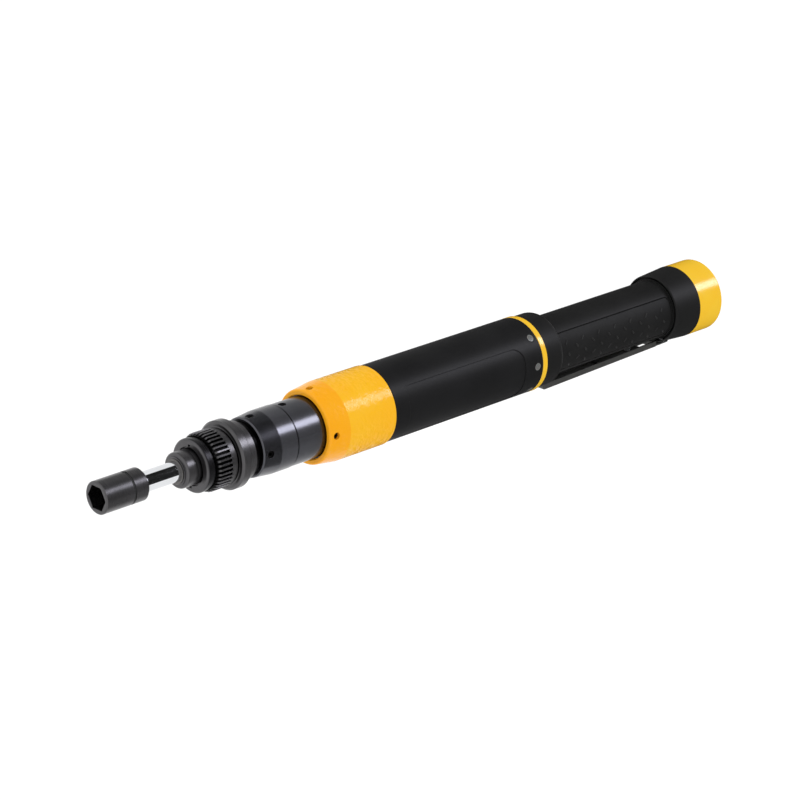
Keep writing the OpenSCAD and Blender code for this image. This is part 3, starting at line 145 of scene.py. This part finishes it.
def along_and_out(tree):
    place = add(tree, "ShaderNodeTexCoord", {}).outputs["Object"]
    xyz = add(tree, "ShaderNodeSeparateXYZ", {"Vector": place})
    across = add(tree, "ShaderNodeCombineXYZ", {"Y": xyz.outputs["Y"], "Z": xyz.outputs["Z"]})
    radius = add(tree, "ShaderNodeVectorMath", {"operation": "LENGTH", 0: across.outputs["Vector"]})
    return xyz.outputs["X"], radius.outputs["Value"]


def turned_rings(tree, ring_mm):
    x, radius = along_and_out(tree)
    along = add(tree, "ShaderNodeMath", {"operation": "ADD", 0: x, 1: radius})
    return add(tree, "ShaderNodeTexNoise", {
        "noise_dimensions": "1D", "W": along.outputs["Value"], "Scale": per_metre(ring_mm),
        "Detail": GRAIN_DETAIL})


def finish(name, colours, roughness, cloud_mm, grain_mm, depth_mm, sockets, turned=False, edge_mm=0.15):
    material = bpy.data.materials.new(name)
    material.use_nodes = True
    tree = material.node_tree
    shader = tree.nodes["Principled BSDF"]
    for socket, value in sockets.items():
        shader.inputs[socket].default_value = value
    place = add(tree, "ShaderNodeTexCoord", {}).outputs["Object"]
    cloud = add(tree, "ShaderNodeTexNoise", {
        "Vector": place, "Scale": per_metre(cloud_mm), "Detail": CLOUD_DETAIL})
    ramp = add(tree, "ShaderNodeValToRGB", {"Fac": cloud.outputs[0]})
    ends = ramp.color_ramp.elements
    ends[0].position = CLOUD_LOW
    ends[1].position = CLOUD_HIGH
    ends[0].color = linear(colours[0])
    ends[1].color = linear(colours[1])
    tree.links.new(ramp.outputs["Color"], shader.inputs["Base Color"])
    if turned:
        grain = turned_rings(tree, grain_mm)
    else:
        grain = add(tree, "ShaderNodeTexNoise", {
            "Vector": place, "Scale": per_metre(grain_mm), "Detail": GRAIN_DETAIL})
    gloss = add(tree, "ShaderNodeMapRange", {
        "Value": grain.outputs[0], "From Min": CLOUD_LOW, "From Max": CLOUD_HIGH,
        "To Min": roughness[0], "To Max": roughness[1]})
    tree.links.new(gloss.outputs["Result"], shader.inputs["Roughness"])
    edge = add(tree, "ShaderNodeBevel", {"samples": BEVEL_SAMPLES, "Radius": edge_mm * MM})
    bump = add(tree, "ShaderNodeBump", {
        "Distance": depth_mm * MM, "Height": grain.outputs[0], "Normal": edge.outputs["Normal"]})
    tree.links.new(bump.outputs["Normal"], shader.inputs["Normal"])
    return material


def shade(material, measure, ends, colours):
    tree = material.node_tree
    base = tree.nodes["Principled BSDF"].inputs["Base Color"]
    share = add(tree, "ShaderNodeMapRange", {"Value": measure, "From Min": ends[0], "From Max": ends[1]})
    ramp = add(tree, "ShaderNodeValToRGB", {"Fac": share.outputs["Result"]})
    for element, colour in zip(ramp.color_ramp.elements, colours):
        element.color = linear(colour)
    shaded = add(tree, "ShaderNodeVectorMath", {
        "operation": "MULTIPLY", 0: base.links[0].from_socket, 1: ramp.outputs["Color"]})
    tree.links.new(shaded.outputs["Vector"], base)


print("each edge is rounded from", BEVEL_SAMPLES, "samples")

# %% [markdown]
# ## The steels
# The socket, nose and reaction flange are turned steel, blackened in a hot salt bath: a thin black skin
# over metal, which still shines where the light strikes it. The rod is ground and hard chrome plated, so
# it is a mirror. The hidden shafts and gears are bare ground steel. Paint could give the same dark colour,
# but only a metal shader tints its highlight as the real skin does.

# %% Steel finishes
METAL = {"Metallic": 1.0}
# Blackened steel: a dark neutral metal with faint lathe rings and a soft sheen.
black_oxide_steel = finish(
    "black_oxide_steel", ("#545354", "#5e5d5f"), roughness=(0.27, 0.34),
    cloud_mm=14.0, grain_mm=0.3, depth_mm=0.001, sockets=METAL, turned=True)
# Painted shade: the gaps between the spline's teeth and the groove behind the neck lie in shade, so the
# colour is drawn darker where the skin is this near to the axis. White leaves a colour as it is.
WHITE = "#ffffff"
PAINTED_SHADE = "#2c2c2c"
SPLINE_SHADE_DEPTH = (15.9 * MM, 16.35 * MM)
spline_shaded_steel = black_oxide_steel.copy()
spline_shaded_steel.name = "black_oxide_spline_painted_shade"
shade(spline_shaded_steel, along_and_out(spline_shaded_steel.node_tree)[1], SPLINE_SHADE_DEPTH, (PAINTED_SHADE, WHITE))
# Painted reflection: the retaining ring's rim is drawn darker than its faces, for the dark surroundings it
# mirrors. How far the skin leans to the axis tells which is which.
RIM_PAINTED_SHADE = "#909093"
FACE_LEAN = (0.3, 0.7)
rim_shaded_steel = black_oxide_steel.copy()
rim_shaded_steel.name = "black_oxide_rim_painted_shade"
ring_normal = add(rim_shaded_steel.node_tree, "ShaderNodeTexCoord", {}).outputs["Normal"]
ring_lean = add(rim_shaded_steel.node_tree, "ShaderNodeSeparateXYZ", {"Vector": ring_normal}).outputs["X"]
ring_face = add(rim_shaded_steel.node_tree, "ShaderNodeMath", {"operation": "ABSOLUTE", 0: ring_lean})
shade(rim_shaded_steel, ring_face.outputs["Value"], FACE_LEAN, (RIM_PAINTED_SHADE, WHITE))
# Polished and blackened steel of the rod wiper: smoother than the nose, so its glint is sharper.
wiper_steel = finish(
    "polished_oxide_steel", ("#5c5a59", "#666463"), roughness=(0.08, 0.14),
    cloud_mm=6.0, grain_mm=0.3, depth_mm=0.0005, sockets=METAL, turned=True)
# Blackened set screws, drawn a deeper black as painted shade for the holes they sit in.
shaded_screw_steel = finish(
    "black_screw_steel_painted_shade", ("#1d1c1c", "#262525"), roughness=(0.3, 0.4),
    cloud_mm=6.0, grain_mm=0.3, depth_mm=0.001, sockets=METAL)
# Hard chrome: almost colourless and nearly a mirror, with the last trace of the grinding wheel.
hard_chrome = finish(
    "hard_chrome", ("#d9dbde", "#e4e6e8"), roughness=(0.02, 0.04),
    cloud_mm=20.0, grain_mm=0.4, depth_mm=0.0001, sockets=METAL, turned=True)
# Ground steel: bright grey with a fine directional grain.
ground_steel = finish(
    "ground_steel", ("#a9abae", "#bcbec1"), roughness=(0.2, 0.34),
    cloud_mm=8.0, grain_mm=0.25, depth_mm=0.002, sockets=METAL, turned=True)
# Laminated core and magnets: dull grey steel.
dull_steel = finish(
    "dull_steel", ("#5c5d60", "#6d6e71"), roughness=(0.38, 0.5),
    cloud_mm=6.0, grain_mm=0.35, depth_mm=0.004, sockets=METAL, turned=True)
print("blackened steels:", black_oxide_steel.name, spline_shaded_steel.name, rim_shaded_steel.name, wiper_steel.name)
print("other steels:", shaded_screw_steel.name, hard_chrome.name, ground_steel.name, dull_steel.name)

# %% [markdown]
# ## The gear case and the lever
# The gear case is turned from bar and chemically blackened to a cool blue-grey. It is smoother than the
# nose, so its highlight is brighter and has sharper edges. The lever is pressed sheet with a satin coat.
# The joint between the two halves of the case shows as a dark line of painted shade. It could be a groove
# in the solids, but a band of painted shade at the joint's place gives the same line and leaves their fit
# alone.

# %% Case and lever finishes
# Gunmetal: a cool dark metal whose fine rings stretch the highlight round the case.
gunmetal = finish(
    "gunmetal", ("#4f5054", "#59595e"), roughness=(0.21, 0.27),
    cloud_mm=18.0, grain_mm=0.25, depth_mm=0.0004, sockets=METAL, turned=True)
# Satin-coated sheet steel: dark grey, even, with a soft broad sheen.
satin_sheet = finish(
    "satin_sheet_steel", ("#3d3d3b", "#464644"), roughness=(0.36, 0.46),
    cloud_mm=10.0, grain_mm=0.5, depth_mm=0.006, sockets={"IOR": 1.5})
# Machined aluminium: pale metal for the plates and the receptacle's shell.
machined_aluminium = finish(
    "machined_aluminium", ("#b9bbbe", "#c9cbcd"), roughness=(0.28, 0.4),
    cloud_mm=9.0, grain_mm=0.3, depth_mm=0.003, sockets=METAL, turned=True)
# Painted shade in the joint between the halves of the case: black at the joint, gone at the second
# distance from it.
JOINT_SHADE = (0.28 * MM, 0.58 * MM)
joint_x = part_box("gear_case_front")[1].x
case_tree = gunmetal.node_tree
joint_off = add(case_tree, "ShaderNodeMath", {
    "operation": "SUBTRACT", 0: along_and_out(case_tree)[0], 1: joint_x})
joint_gap = add(case_tree, "ShaderNodeMath", {"operation": "ABSOLUTE", 0: joint_off.outputs["Value"]})
shade(gunmetal, joint_gap.outputs["Value"], JOINT_SHADE, (PAINTED_SHADE, WHITE))
print("case:", gunmetal.name, "joint at mm", round(joint_x / MM, 1), "lever:", satin_sheet.name)

# %% [markdown]
# ## The mouldings
# The front cap is amber ABS from a polished mould: glossy, with a slight ripple that breaks up the
# highlight. The thin ring and the tail are ABS too, a shade more yellow and smoother. The housing and
# handle are black glass-filled nylon from a spark eroded mould, which leaves a fine pebbled skin. The
# grips are overmoulded rubber, duller still. The pebbles could be modelled, but they are too small to
# change an outline, so a bump is enough.

# %% Moulded finishes
# Amber ABS: saturated and glossy. Its long soft ripple is drawn deeper than a real one, so that it shows.
amber_abs = finish(
    "amber_abs", ("#FFB81C", "#FFC126"), roughness=(0.13, 0.2),
    cloud_mm=30.0, grain_mm=2.6, depth_mm=0.27,
    sockets={"IOR": 1.52, "Specular IOR Level": 0.17}, edge_mm=0.25)
# Painted shade: the cone at the front of the cap gets less light than the rest, so its colour is drawn a
# deeper orange.
CONE_PAINTED_SHADE = "#ffece0"
CONE_LENGTH = 14.0 * MM
CONE_BLEND = 0.2 * MM
cone_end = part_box("front_cap")[0].x + CONE_LENGTH
shade(
    amber_abs, along_and_out(amber_abs.node_tree)[0], (cone_end - CONE_BLEND, cone_end + CONE_BLEND),
    (CONE_PAINTED_SHADE, WHITE))
# Yellow ABS of the ring and the tail: a strong, smooth gloss.
yellow_abs = finish(
    "yellow_abs", ("#FFC62A", "#FFCF36"), roughness=(0.16, 0.23),
    cloud_mm=30.0, grain_mm=2.6, depth_mm=0.03,
    sockets={"IOR": 1.52, "Specular IOR Level": 0.46}, edge_mm=0.25)
# Black nylon of the motor housing: satin, with a fine pebbled skin.
housing_nylon = finish(
    "housing_nylon", ("#19191a", "#1e1e1f"), roughness=(0.38, 0.48),
    cloud_mm=24.0, grain_mm=0.45, depth_mm=0.01,
    sockets={"IOR": 1.53, "Specular IOR Level": 0.09}, edge_mm=0.25)
# Black nylon of the handle: a slightly coarser skin, so it is duller.
handle_nylon = finish(
    "handle_nylon", ("#191919", "#1e1e1e"), roughness=(0.44, 0.56),
    cloud_mm=24.0, grain_mm=0.5, depth_mm=0.014,
    sockets={"IOR": 1.53, "Specular IOR Level": 0.11}, edge_mm=0.25)
# Rubber of the tread: drawn a little lighter than the grip round it, as painted light on the lugs.
lit_tread_rubber = finish(
    "lit_tread_rubber", ("#222222", "#292929"), roughness=(0.42, 0.52),
    cloud_mm=16.0, grain_mm=0.6, depth_mm=0.012,
    sockets={"IOR": 1.52, "Specular IOR Level": 0.2}, edge_mm=0.2)
# Overmoulded rubber of the grips: nearly matt.
grip_rubber = finish(
    "grip_rubber", ("#191919", "#1f1f1f"), roughness=(0.5, 0.64),
    cloud_mm=16.0, grain_mm=0.6, depth_mm=0.02,
    sockets={"IOR": 1.52, "Specular IOR Level": 0.11}, edge_mm=0.2)
# Nitrile rubber of the socket's ring: dark grey with a dull shine.
nitrile_rubber = finish(
    "nitrile_rubber", ("#29292a", "#303031"), roughness=(0.4, 0.5),
    cloud_mm=8.0, grain_mm=0.4, depth_mm=0.004,
    sockets={"IOR": 1.52, "Specular IOR Level": 0.3})
print("mouldings:", amber_abs.name, yellow_abs.name, housing_nylon.name, handle_nylon.name)
print("rubbers:", lit_tread_rubber.name, grip_rubber.name, nitrile_rubber.name)

# %% [markdown]
# ## The electrical parts
# Enamelled copper, green boards and gold-plated contacts are seen only where the tool is opened or from
# behind, in the receptacle. One grey would do for the photograph, but each gets its own finish, so that
# the model is whole inside.

# %% Electrical finishes
# Enamelled copper wire: warm metal under clear varnish.
copper_wire = finish(
    "enamelled_copper", ("#9a5a2c", "#b06a36"), roughness=(0.24, 0.38),
    cloud_mm=3.0, grain_mm=0.6, depth_mm=0.02, sockets=METAL)
# Solder mask on glass board: green, glossy, a little uneven.
solder_mask = finish(
    "solder_mask_board", ("#17492c", "#1f5a36"), roughness=(0.2, 0.32),
    cloud_mm=4.0, grain_mm=0.8, depth_mm=0.006, sockets={"IOR": 1.55})
# Gold plating on the contacts: a warm, even shine.
gold_plate = finish(
    "gold_plate", ("#cf9f4a", "#dcb060"), roughness=(0.14, 0.22),
    cloud_mm=3.0, grain_mm=0.3, depth_mm=0.001, sockets=METAL)
print("electrical:", copper_wire.name, solder_mask.name, gold_plate.name)

# %% [markdown]
# ## The indicator lenses
# Each lens is a small milky polycarbonate disc over a light. Unlit, it is grey, with a darker ring where
# the lens wall goes down to the board. The ring could be a second solid inside a clear one. Here it is
# drawn from the distance to the lens's own middle, which needs no glass: the angle round the tool is
# wrapped to one lens, and turned into a length on the skin.

# %% Lens finish
LENS_STEP = 45.0
LENS_TURNS = [side + step for side in (0.0, 180.0) for step in (-LENS_STEP, 0.0, LENS_STEP)]
# Each step from the middle outwards: its colour, and its place as a share of the lens's radius.
LENS_RING = (("#555656", 0.0), ("#737472", 0.35), ("#606160", 0.6), ("#7f807e", 0.85), ("#434343", 1.0))
lens_low, lens_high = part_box("indicator_lenses")
lens_x = (lens_low.x + lens_high.x) / 2
lens_r = (lens_high.x - lens_low.x) / 2
skin_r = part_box("motor_housing")[1].z

# Milky polycarbonate: light goes a little way in, so the disc looks soft.
lens_plastic = finish(
    "lens_polycarbonate", ("#8a8a8a", "#929292"), roughness=(0.2, 0.28),
    cloud_mm=5.0, grain_mm=0.8, depth_mm=0.004, edge_mm=0.1,
    sockets={
        "IOR": 1.58, "Specular IOR Level": 0.2, "Subsurface Weight": 0.15, "Subsurface Scale": 0.5 * MM})
lens_tree = lens_plastic.node_tree
lens_place = add(lens_tree, "ShaderNodeTexCoord", {}).outputs["Object"]
lens_xyz = add(lens_tree, "ShaderNodeSeparateXYZ", {"Vector": lens_place})
lens_angle = add(lens_tree, "ShaderNodeMath", {
    "operation": "ARCTAN2", 0: lens_xyz.outputs["Y"], 1: lens_xyz.outputs["Z"]})
half_step = math.radians(LENS_STEP / 2)
lens_turn = add(lens_tree, "ShaderNodeMath", {
    "operation": "WRAP", 0: lens_angle.outputs["Value"], 1: half_step, 2: -half_step})
lens_side = add(lens_tree, "ShaderNodeMath", {
    "operation": "MULTIPLY", 0: lens_turn.outputs["Value"], 1: skin_r})
lens_along = add(lens_tree, "ShaderNodeMath", {
    "operation": "SUBTRACT", 0: lens_xyz.outputs["X"], 1: lens_x})
lens_offset = add(lens_tree, "ShaderNodeCombineXYZ", {
    "X": lens_along.outputs["Value"], "Y": lens_side.outputs["Value"]})
lens_distance = add(lens_tree, "ShaderNodeVectorMath", {
    "operation": "LENGTH", 0: lens_offset.outputs["Vector"]})
lens_share = add(lens_tree, "ShaderNodeMath", {
    "operation": "DIVIDE", 0: lens_distance.outputs["Value"], 1: lens_r})
lens_ramp = add(lens_tree, "ShaderNodeValToRGB", {"Fac": lens_share.outputs["Value"]})
lens_steps = lens_ramp.color_ramp.elements
for _, position in LENS_RING[1:-1]:
    lens_steps.new(position)
for element, (colour, position) in zip(lens_steps, LENS_RING):
    element.position = position
    element.color = linear(colour)
lens_tree.links.new(lens_ramp.outputs["Color"], lens_tree.nodes["Principled BSDF"].inputs["Base Color"])
print("lens radius in mm:", round(lens_r / MM, 2), "at x", round(lens_x / MM, 1))

# %% [markdown]
# ## Give each CAD solid its finish
# The solids keep their shape, so only their material slot is filled. Each could be set by hand in a line
# of its own. One table says it for all of them, and a check makes sure that none is left out.

# %% Assign the finishes
finishes = {
    black_oxide_steel: "socket nose_collar",
    spline_shaded_steel: "nose_housing",
    rim_shaded_steel: "retaining_ring",
    wiper_steel: "rod_wiper",
    shaded_screw_steel: "case_set_screws cap_set_screws",
    hard_chrome: "drive_rod",
    ground_steel: "socket_pin float_spring output_spindle front_bearing bearing_spacer rear_bearing "
                  "bearing_circlip ring_gear planet_two_a planet_two_b planet_two_c planet_pins_two "
                  "carrier_one planet_one_a planet_one_b planet_one_c planet_pins_one rotor_shaft "
                  "transducer_screws motor_front_bearing motor_rear_bearing resolver_rotor lever_pin "
                  "lever_spring connector_screws",
    dull_steel: "stator_core rotor_magnets",
    gunmetal: "gear_case_front gear_case_rear",
    satin_sheet: "start_lever",
    machined_aluminium: "torque_transducer motor_front_plate motor_rear_plate connector_shell",
    amber_abs: "front_cap",
    yellow_abs: "indicator_ring tail_cap",
    housing_nylon: "motor_housing switch_body switch_plunger",
    handle_nylon: "handle_collar handle_shell tail_flare connector_insert",
    grip_rubber: "grip_panels",
    nitrile_rubber: "socket_o_ring",
    lens_plastic: "indicator_lenses",
    copper_wire: "stator_coils resolver_stator",
    solder_mask: "indicator_board control_board",
    gold_plate: "connector_pins",
}
dressed = set()
for material, names in finishes.items():
    for name in names.split():
        nodes[name].data.materials.clear()
        nodes[name].data.materials.append(material)
        dressed.add(name)
assert dressed == set(nodes), set(nodes) ^ dressed
print("dressed:", len(dressed))

# %% [markdown]
# ## Pieces that lie on a round skin
# The tread on the grips and the rims round the lenses are small forms that follow a cylinder. Each is
# drawn flat, as rings of points with a height, and then wrapped: one flat direction runs along the
# axis, the other goes round it, and the height is measured outwards from the skin. A modifier could
# bend a flat mesh as well, but a formula puts every point where it is wanted in one step.

# %% Wrap a flat form round the axis
SHARP_ANGLE = 40.0


def wrapped(x, turn, skin, along, across, height):
    radius = skin + height
    angle = turn + across / skin
    return Vector((x + along, -radius * math.cos(angle), radius * math.sin(angle)))


def close_rings(mesh, rings, cap):
    for lower, upper in zip(rings, rings[1:]):
        for i in range(len(lower)):
            j = (i + 1) % len(lower)
            mesh.faces.new((lower[i], lower[j], upper[j], upper[i]))
    if cap:
        mesh.faces.new(rings[0][::-1])
        mesh.faces.new(rings[-1])


def new_piece(name, mesh, material, body):
    bmesh.ops.recalc_face_normals(mesh, faces=mesh.faces)
    data = bpy.data.meshes.new(name)
    mesh.to_mesh(data)
    mesh.free()
    data.materials.append(material)
    data.polygons.foreach_set("use_smooth", [True] * len(data.polygons))
    data.set_sharp_from_angle(angle=math.radians(SHARP_ANGLE))
    piece = bpy.data.objects.new(name, data)
    bpy.context.scene.collection.objects.link(piece)
    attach(piece, body)
    print(name, "faces:", len(data.polygons))


print("housing skin radius in mm:", round(skin_r / MM, 2))

# %% [markdown]
# ## The tread on the grips
# The rubber grips carry sparse rows of short slanted lugs, so that a gloved hand keeps its hold. The
# rows are staggered and lean different ways. A bump could draw them, but a real lug stands out at the
# edge of the grip, so each is a mesh: a small stadium with drafted sides, as it has to leave the mould.
# It starts a little below the skin so that no gap shows.

# %% Grip tread
LUG_HALF_LENGTH = 1.5 * MM
LUG_HALF_WIDTH = 0.55 * MM
LUG_SLANT = 50.0
LUG_CORNERS = 12
# Each level of a lug: height above the skin in mm, and its share of the lug's width.
LUG_LEVELS = ((-0.15, 1.0), (0.28, 0.92), (0.42, 0.66))
LUG_PITCH = 14.2 * MM
FIRST_LUG = 5.5 * MM
END_MARGIN = 4.0 * MM
# Each row: degrees above the middle of the side, shift as a share of the pitch, and which way it leans.
TREAD_ROWS = ((19.5, 0.0, 1), (8.5, 0.61, -1), (-4.5, 0.13, -1), (-16.5, 0.7, 1), (-28.0, 0.25, -1))
grip_low, grip_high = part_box("grip_panels")
grip_r = grip_high.y


def lug(mesh, x, turn, slant):
    rings = []
    for height_mm, share in LUG_LEVELS:
        ring = []
        for k in range(LUG_CORNERS):
            a = 2 * math.pi * (k + 0.5) / LUG_CORNERS
            straight = math.copysign(LUG_HALF_LENGTH - LUG_HALF_WIDTH, math.cos(a))
            u = straight + LUG_HALF_WIDTH * share * math.cos(a)
            v = LUG_HALF_WIDTH * share * math.sin(a)
            along = u * math.cos(slant) - v * math.sin(slant)
            across = u * math.sin(slant) + v * math.cos(slant)
            ring.append(mesh.verts.new(wrapped(x, turn, grip_r, along, across, height_mm * MM)))
        rings.append(ring)
    close_rings(mesh, rings, cap=True)


def tread(name, middle, way):
    mesh = bmesh.new()
    for degrees, shift, lean in TREAD_ROWS:
        x = grip_low.x + FIRST_LUG + shift * LUG_PITCH
        while x < grip_high.x - END_MARGIN:
            lug(mesh, x, math.radians(middle + way * degrees), math.radians(way * lean * LUG_SLANT))
            x += LUG_PITCH
    new_piece(name, mesh, lit_tread_rubber, "tool_body")


tread("grip_tread_near", 0.0, 1)
tread("grip_tread_far", 180.0, -1)

# %% [markdown]
# ## The rims round the lenses
# A shallow rim stands round each lens hole, as moulded holes often have. It is a ring with a rounded
# crown, wrapped on the housing's skin. A bent torus would be close, but a drawn profile keeps it low.

# %% Lens rims
RIM_POINTS = 40
# Each corner of the rim's section: distance out from the lens's edge and height above the skin, in mm.
RIM_PROFILE = ((0.03, -0.2), (0.03, 0.05), (0.14, 0.12), (0.32, 0.12), (0.5, 0.02), (0.56, -0.2))


def lens_rims():
    mesh = bmesh.new()
    for degrees in LENS_TURNS:
        turn = math.radians(degrees)
        rings = []
        for out_mm, height_mm in RIM_PROFILE:
            reach = lens_r + out_mm * MM
            ring = []
            for i in range(RIM_POINTS):
                a = 2 * math.pi * i / RIM_POINTS
                ring.append(mesh.verts.new(wrapped(
                    lens_x, turn, skin_r, reach * math.cos(a), reach * math.sin(a), height_mm * MM)))
            rings.append(ring)
        close_rings(mesh, rings + rings[:1], cap=False)
    new_piece("lens_rims", mesh, housing_nylon, "tool_body")


lens_rims()

# %% [markdown]
# ## The lever's end cover
# Where the lever runs into the flare, a folded lip goes on over the hinge slot, so that no dirt falls in.
# It is nearly as wide as the lever, keeps clear of the flare, and has rounded corners at its end. A
# bevelled box would have square ends, so a few cross sections are joined instead. It rides on the lever.

# %% Lever end cover
COVER_TOP = -22.0 * MM
COVER_EDGE = 0.25 * MM
COVER_LENGTH = 12.4 * MM
# Each station in mm: distance behind the cover's start, half width, and outer face's drop below the axis.
COVER_STATIONS = ((-0.5, 5.4, 23.19), (10.8, 5.4, 22.94), (11.9, 5.0, 22.9), (12.3, 4.3, 22.8))
cover_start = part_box("start_lever")[1].x - COVER_LENGTH


def lever_cover():
    mesh = bmesh.new()
    rings = []
    for back_mm, half_mm, drop_mm in COVER_STATIONS:
        half = half_mm * MM
        low = -drop_mm * MM
        outline = (
            (half - COVER_EDGE, low), (half, low + COVER_EDGE), (half, COVER_TOP), (-half, COVER_TOP),
            (-half, low + COVER_EDGE), (COVER_EDGE - half, low))
        rings.append([mesh.verts.new((cover_start + back_mm * MM, y, z)) for y, z in outline])
    close_rings(mesh, rings, cap=True)
    new_piece("lever_cover", mesh, satin_sheet, "lever")


lever_cover()

# %% [markdown]
# ## The springs
# The rod's spring and the lever's spring get shorter when the tool is used, and a rigid coil would cut
# through what pushes it. Each piece here is a copy of the CAD coil, stands for it while the original is
# hidden, and rides on the body that is given.


def flattening_spring(name, node, body):
    data = nodes[node].data.copy()
    data.name = name
    spring = bpy.data.objects.new(name, data)
    bpy.context.scene.collection.objects.link(spring)
    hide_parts(node)
    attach(spring, body)
    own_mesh(spring)


flattening_spring("float_coil", "float_spring", "spindle")
flattening_spring(
    "lever_coil", "lever_spring", "tool_body")

# %% [markdown]
# ## The studio
# The photograph shows the tool on plain white, evenly lit from all round, as in a white tent. A ring of
# lamps could do that. The world is simpler, and lights every side alike, at the strength at which each
# colour renders as it is written. The floor is a sheet of white paper far below, so that the tool's
# shadow spreads out until it is hardly seen.

# %% World and floor
TENT_LIGHT = 1.0
FLOOR_COLOUR = "#f6f6f6"
FLOOR_DROP = 1.4
FLOOR_REACH = 14.0
FLOOR_LIFT = 0.14
PAPER_ROUGHNESS = 0.9


def seen_rays(tree):
    paths = add(tree, "ShaderNodeLightPath", {})
    mirrored = add(tree, "ShaderNodeMath", {
        "operation": "MAXIMUM",
        0: paths.outputs["Is Glossy Ray"], 1: paths.outputs["Is Transmission Ray"]})
    seen = add(tree, "ShaderNodeMath", {
        "operation": "MAXIMUM", 0: paths.outputs["Is Camera Ray"], 1: mirrored.outputs["Value"]})
    return seen.outputs["Value"]


def stage_sheet(name, corners, faces, material):
    data = bpy.data.meshes.new(name)
    data.from_pydata(corners, [], faces)
    data.materials.append(material)
    sheet = bpy.data.objects.new(name, data)
    bpy.context.scene.collection.objects.link(sheet)
    return sheet


world = bpy.data.worlds.new("white_tent")
bpy.context.scene.world = world
world.use_nodes = True
tent = world.node_tree.nodes["Background"]
tent.inputs["Color"].default_value = linear(WHITE)
tent.inputs["Strength"].default_value = TENT_LIGHT

# White paper: matt, and lifted a little to white where it is seen or mirrored, so that its shadow stays.
paper = bpy.data.materials.new("white_paper")
paper.use_nodes = True
paper_shader = paper.node_tree.nodes["Principled BSDF"]
paper_shader.inputs["Base Color"].default_value = linear(FLOOR_COLOUR)
paper_shader.inputs["Roughness"].default_value = PAPER_ROUGHNESS
paper_shader.inputs["Emission Color"].default_value = linear(WHITE)
paper_glow = add(paper.node_tree, "ShaderNodeMath", {
    "operation": "MULTIPLY", 0: seen_rays(paper.node_tree), 1: FLOOR_LIFT})
paper.node_tree.links.new(paper_glow.outputs["Value"], paper_shader.inputs["Emission Strength"])
floor_corners = [
    (-FLOOR_REACH, -FLOOR_REACH, -FLOOR_DROP), (FLOOR_REACH, -FLOOR_REACH, -FLOOR_DROP),
    (FLOOR_REACH, FLOOR_REACH, -FLOOR_DROP), (-FLOOR_REACH, FLOOR_REACH, -FLOOR_DROP)]
stage_sheet("studio_floor", floor_corners, [(0, 1, 2, 3)], paper)
print("floor", FLOOR_DROP, "m below the axis, tent light", TENT_LIGHT)

# %% [markdown]
# ## The dark flags
# A mirror-bright rod in a white tent would vanish, and black plastic would turn grey at its edges.
# Photographers hang black cloth where such a surface would reflect the tent. Each cloth here follows a
# part of a cylinder round the tool's axis, at the place that one stretch of the tool mirrors to the
# camera: one for the two cones, one for the rod and one for the plastic. Darker materials could hide the
# tent too, but they would be wrong under any other light. Only reflections see the cloths, so they take
# no light from the tool.

# %% Dark flags
CLOTH_COLOUR = "#161616"
CLOTH_ROUGHNESS = 1.0
FLAG_RADIUS = 1.35
FLAG_STEP = 8.0
# Each flag: where it starts and ends along the axis, and from which angle to which it goes round.
FLAGS = {
    "flag_for_cones": ((0.45, 0.84), (-75.0, 150.0)),
    "flag_for_rod": ((0.84, 0.95), (-24.0, 94.0)),
    "flag_for_plastic": ((1.16, 3.0), (-140.0, 220.0)),
}

# Black cloth: matt, so that it shows no light of its own.
cloth = bpy.data.materials.new("black_cloth")
cloth.use_nodes = True
cloth_shader = cloth.node_tree.nodes["Principled BSDF"]
cloth_shader.inputs["Base Color"].default_value = linear(CLOTH_COLOUR)
cloth_shader.inputs["Roughness"].default_value = CLOTH_ROUGHNESS
for flag_name, (ends, (first, last)) in FLAGS.items():
    steps = math.ceil((last - first) / FLAG_STEP)
    flag_corners = []
    for step in range(steps + 1):
        angle = math.radians(first + (last - first) * step / steps)
        for end in ends:
            flag_corners.append((end, -FLAG_RADIUS * math.cos(angle), FLAG_RADIUS * math.sin(angle)))
    flag_faces = [(2 * i, 2 * i + 1, 2 * i + 3, 2 * i + 2) for i in range(steps)]
    flag = stage_sheet(flag_name, flag_corners, flag_faces, cloth)
    flag.visible_camera = False
    flag.visible_diffuse = False
    flag.visible_transmission = False
    flag.visible_shadow = False
    print(flag_name, "strips:", len(flag_faces))

# %% [markdown]
# ## The soft box
# One long soft box makes the highlight that runs along the upper near side of the round pieces. Where it
# has to hang follows from the mirror rule: for a cylinder along X, the highlight sits where the skin's
# normal halves the angle between the camera and the light. It starts just past the place that the rod
# mirrors, so the rod and the cones stay dark while the rougher nose and socket still catch its end, and
# it runs on past the place that the tail mirrors. It gives no diffuse light: the tent alone lights the
# colours, so that they render as they are written, and the box draws only the shine.

# %% Soft box
BOX_COLOUR = "#f4f4ff"
BOX_ANGLE = 44.0
BOX_RADIUS = 1.084
BOX_ENDS = (0.757, 1.95)
BOX_WIDTH = 0.42
BOX_RADIANCE = 10.0

box_turn = math.radians(BOX_ANGLE)
box_light = bpy.data.lights.new("soft_box", "AREA")
box_light.shape = "RECTANGLE"
box_light.size = BOX_ENDS[1] - BOX_ENDS[0]
box_light.size_y = BOX_WIDTH
box_light.color = linear(BOX_COLOUR)[:3]
box_light.energy = BOX_RADIANCE * math.pi * box_light.size * BOX_WIDTH
soft_box = bpy.data.objects.new("soft_box", box_light)
soft_box.location = (sum(BOX_ENDS) / 2, -BOX_RADIUS * math.cos(box_turn), BOX_RADIUS * math.sin(box_turn))
soft_box.rotation_euler = (math.pi / 2 - box_turn, 0.0, 0.0)
soft_box.visible_diffuse = False
bpy.context.scene.collection.objects.link(soft_box)
print("soft box watts:", round(box_light.energy, 2))
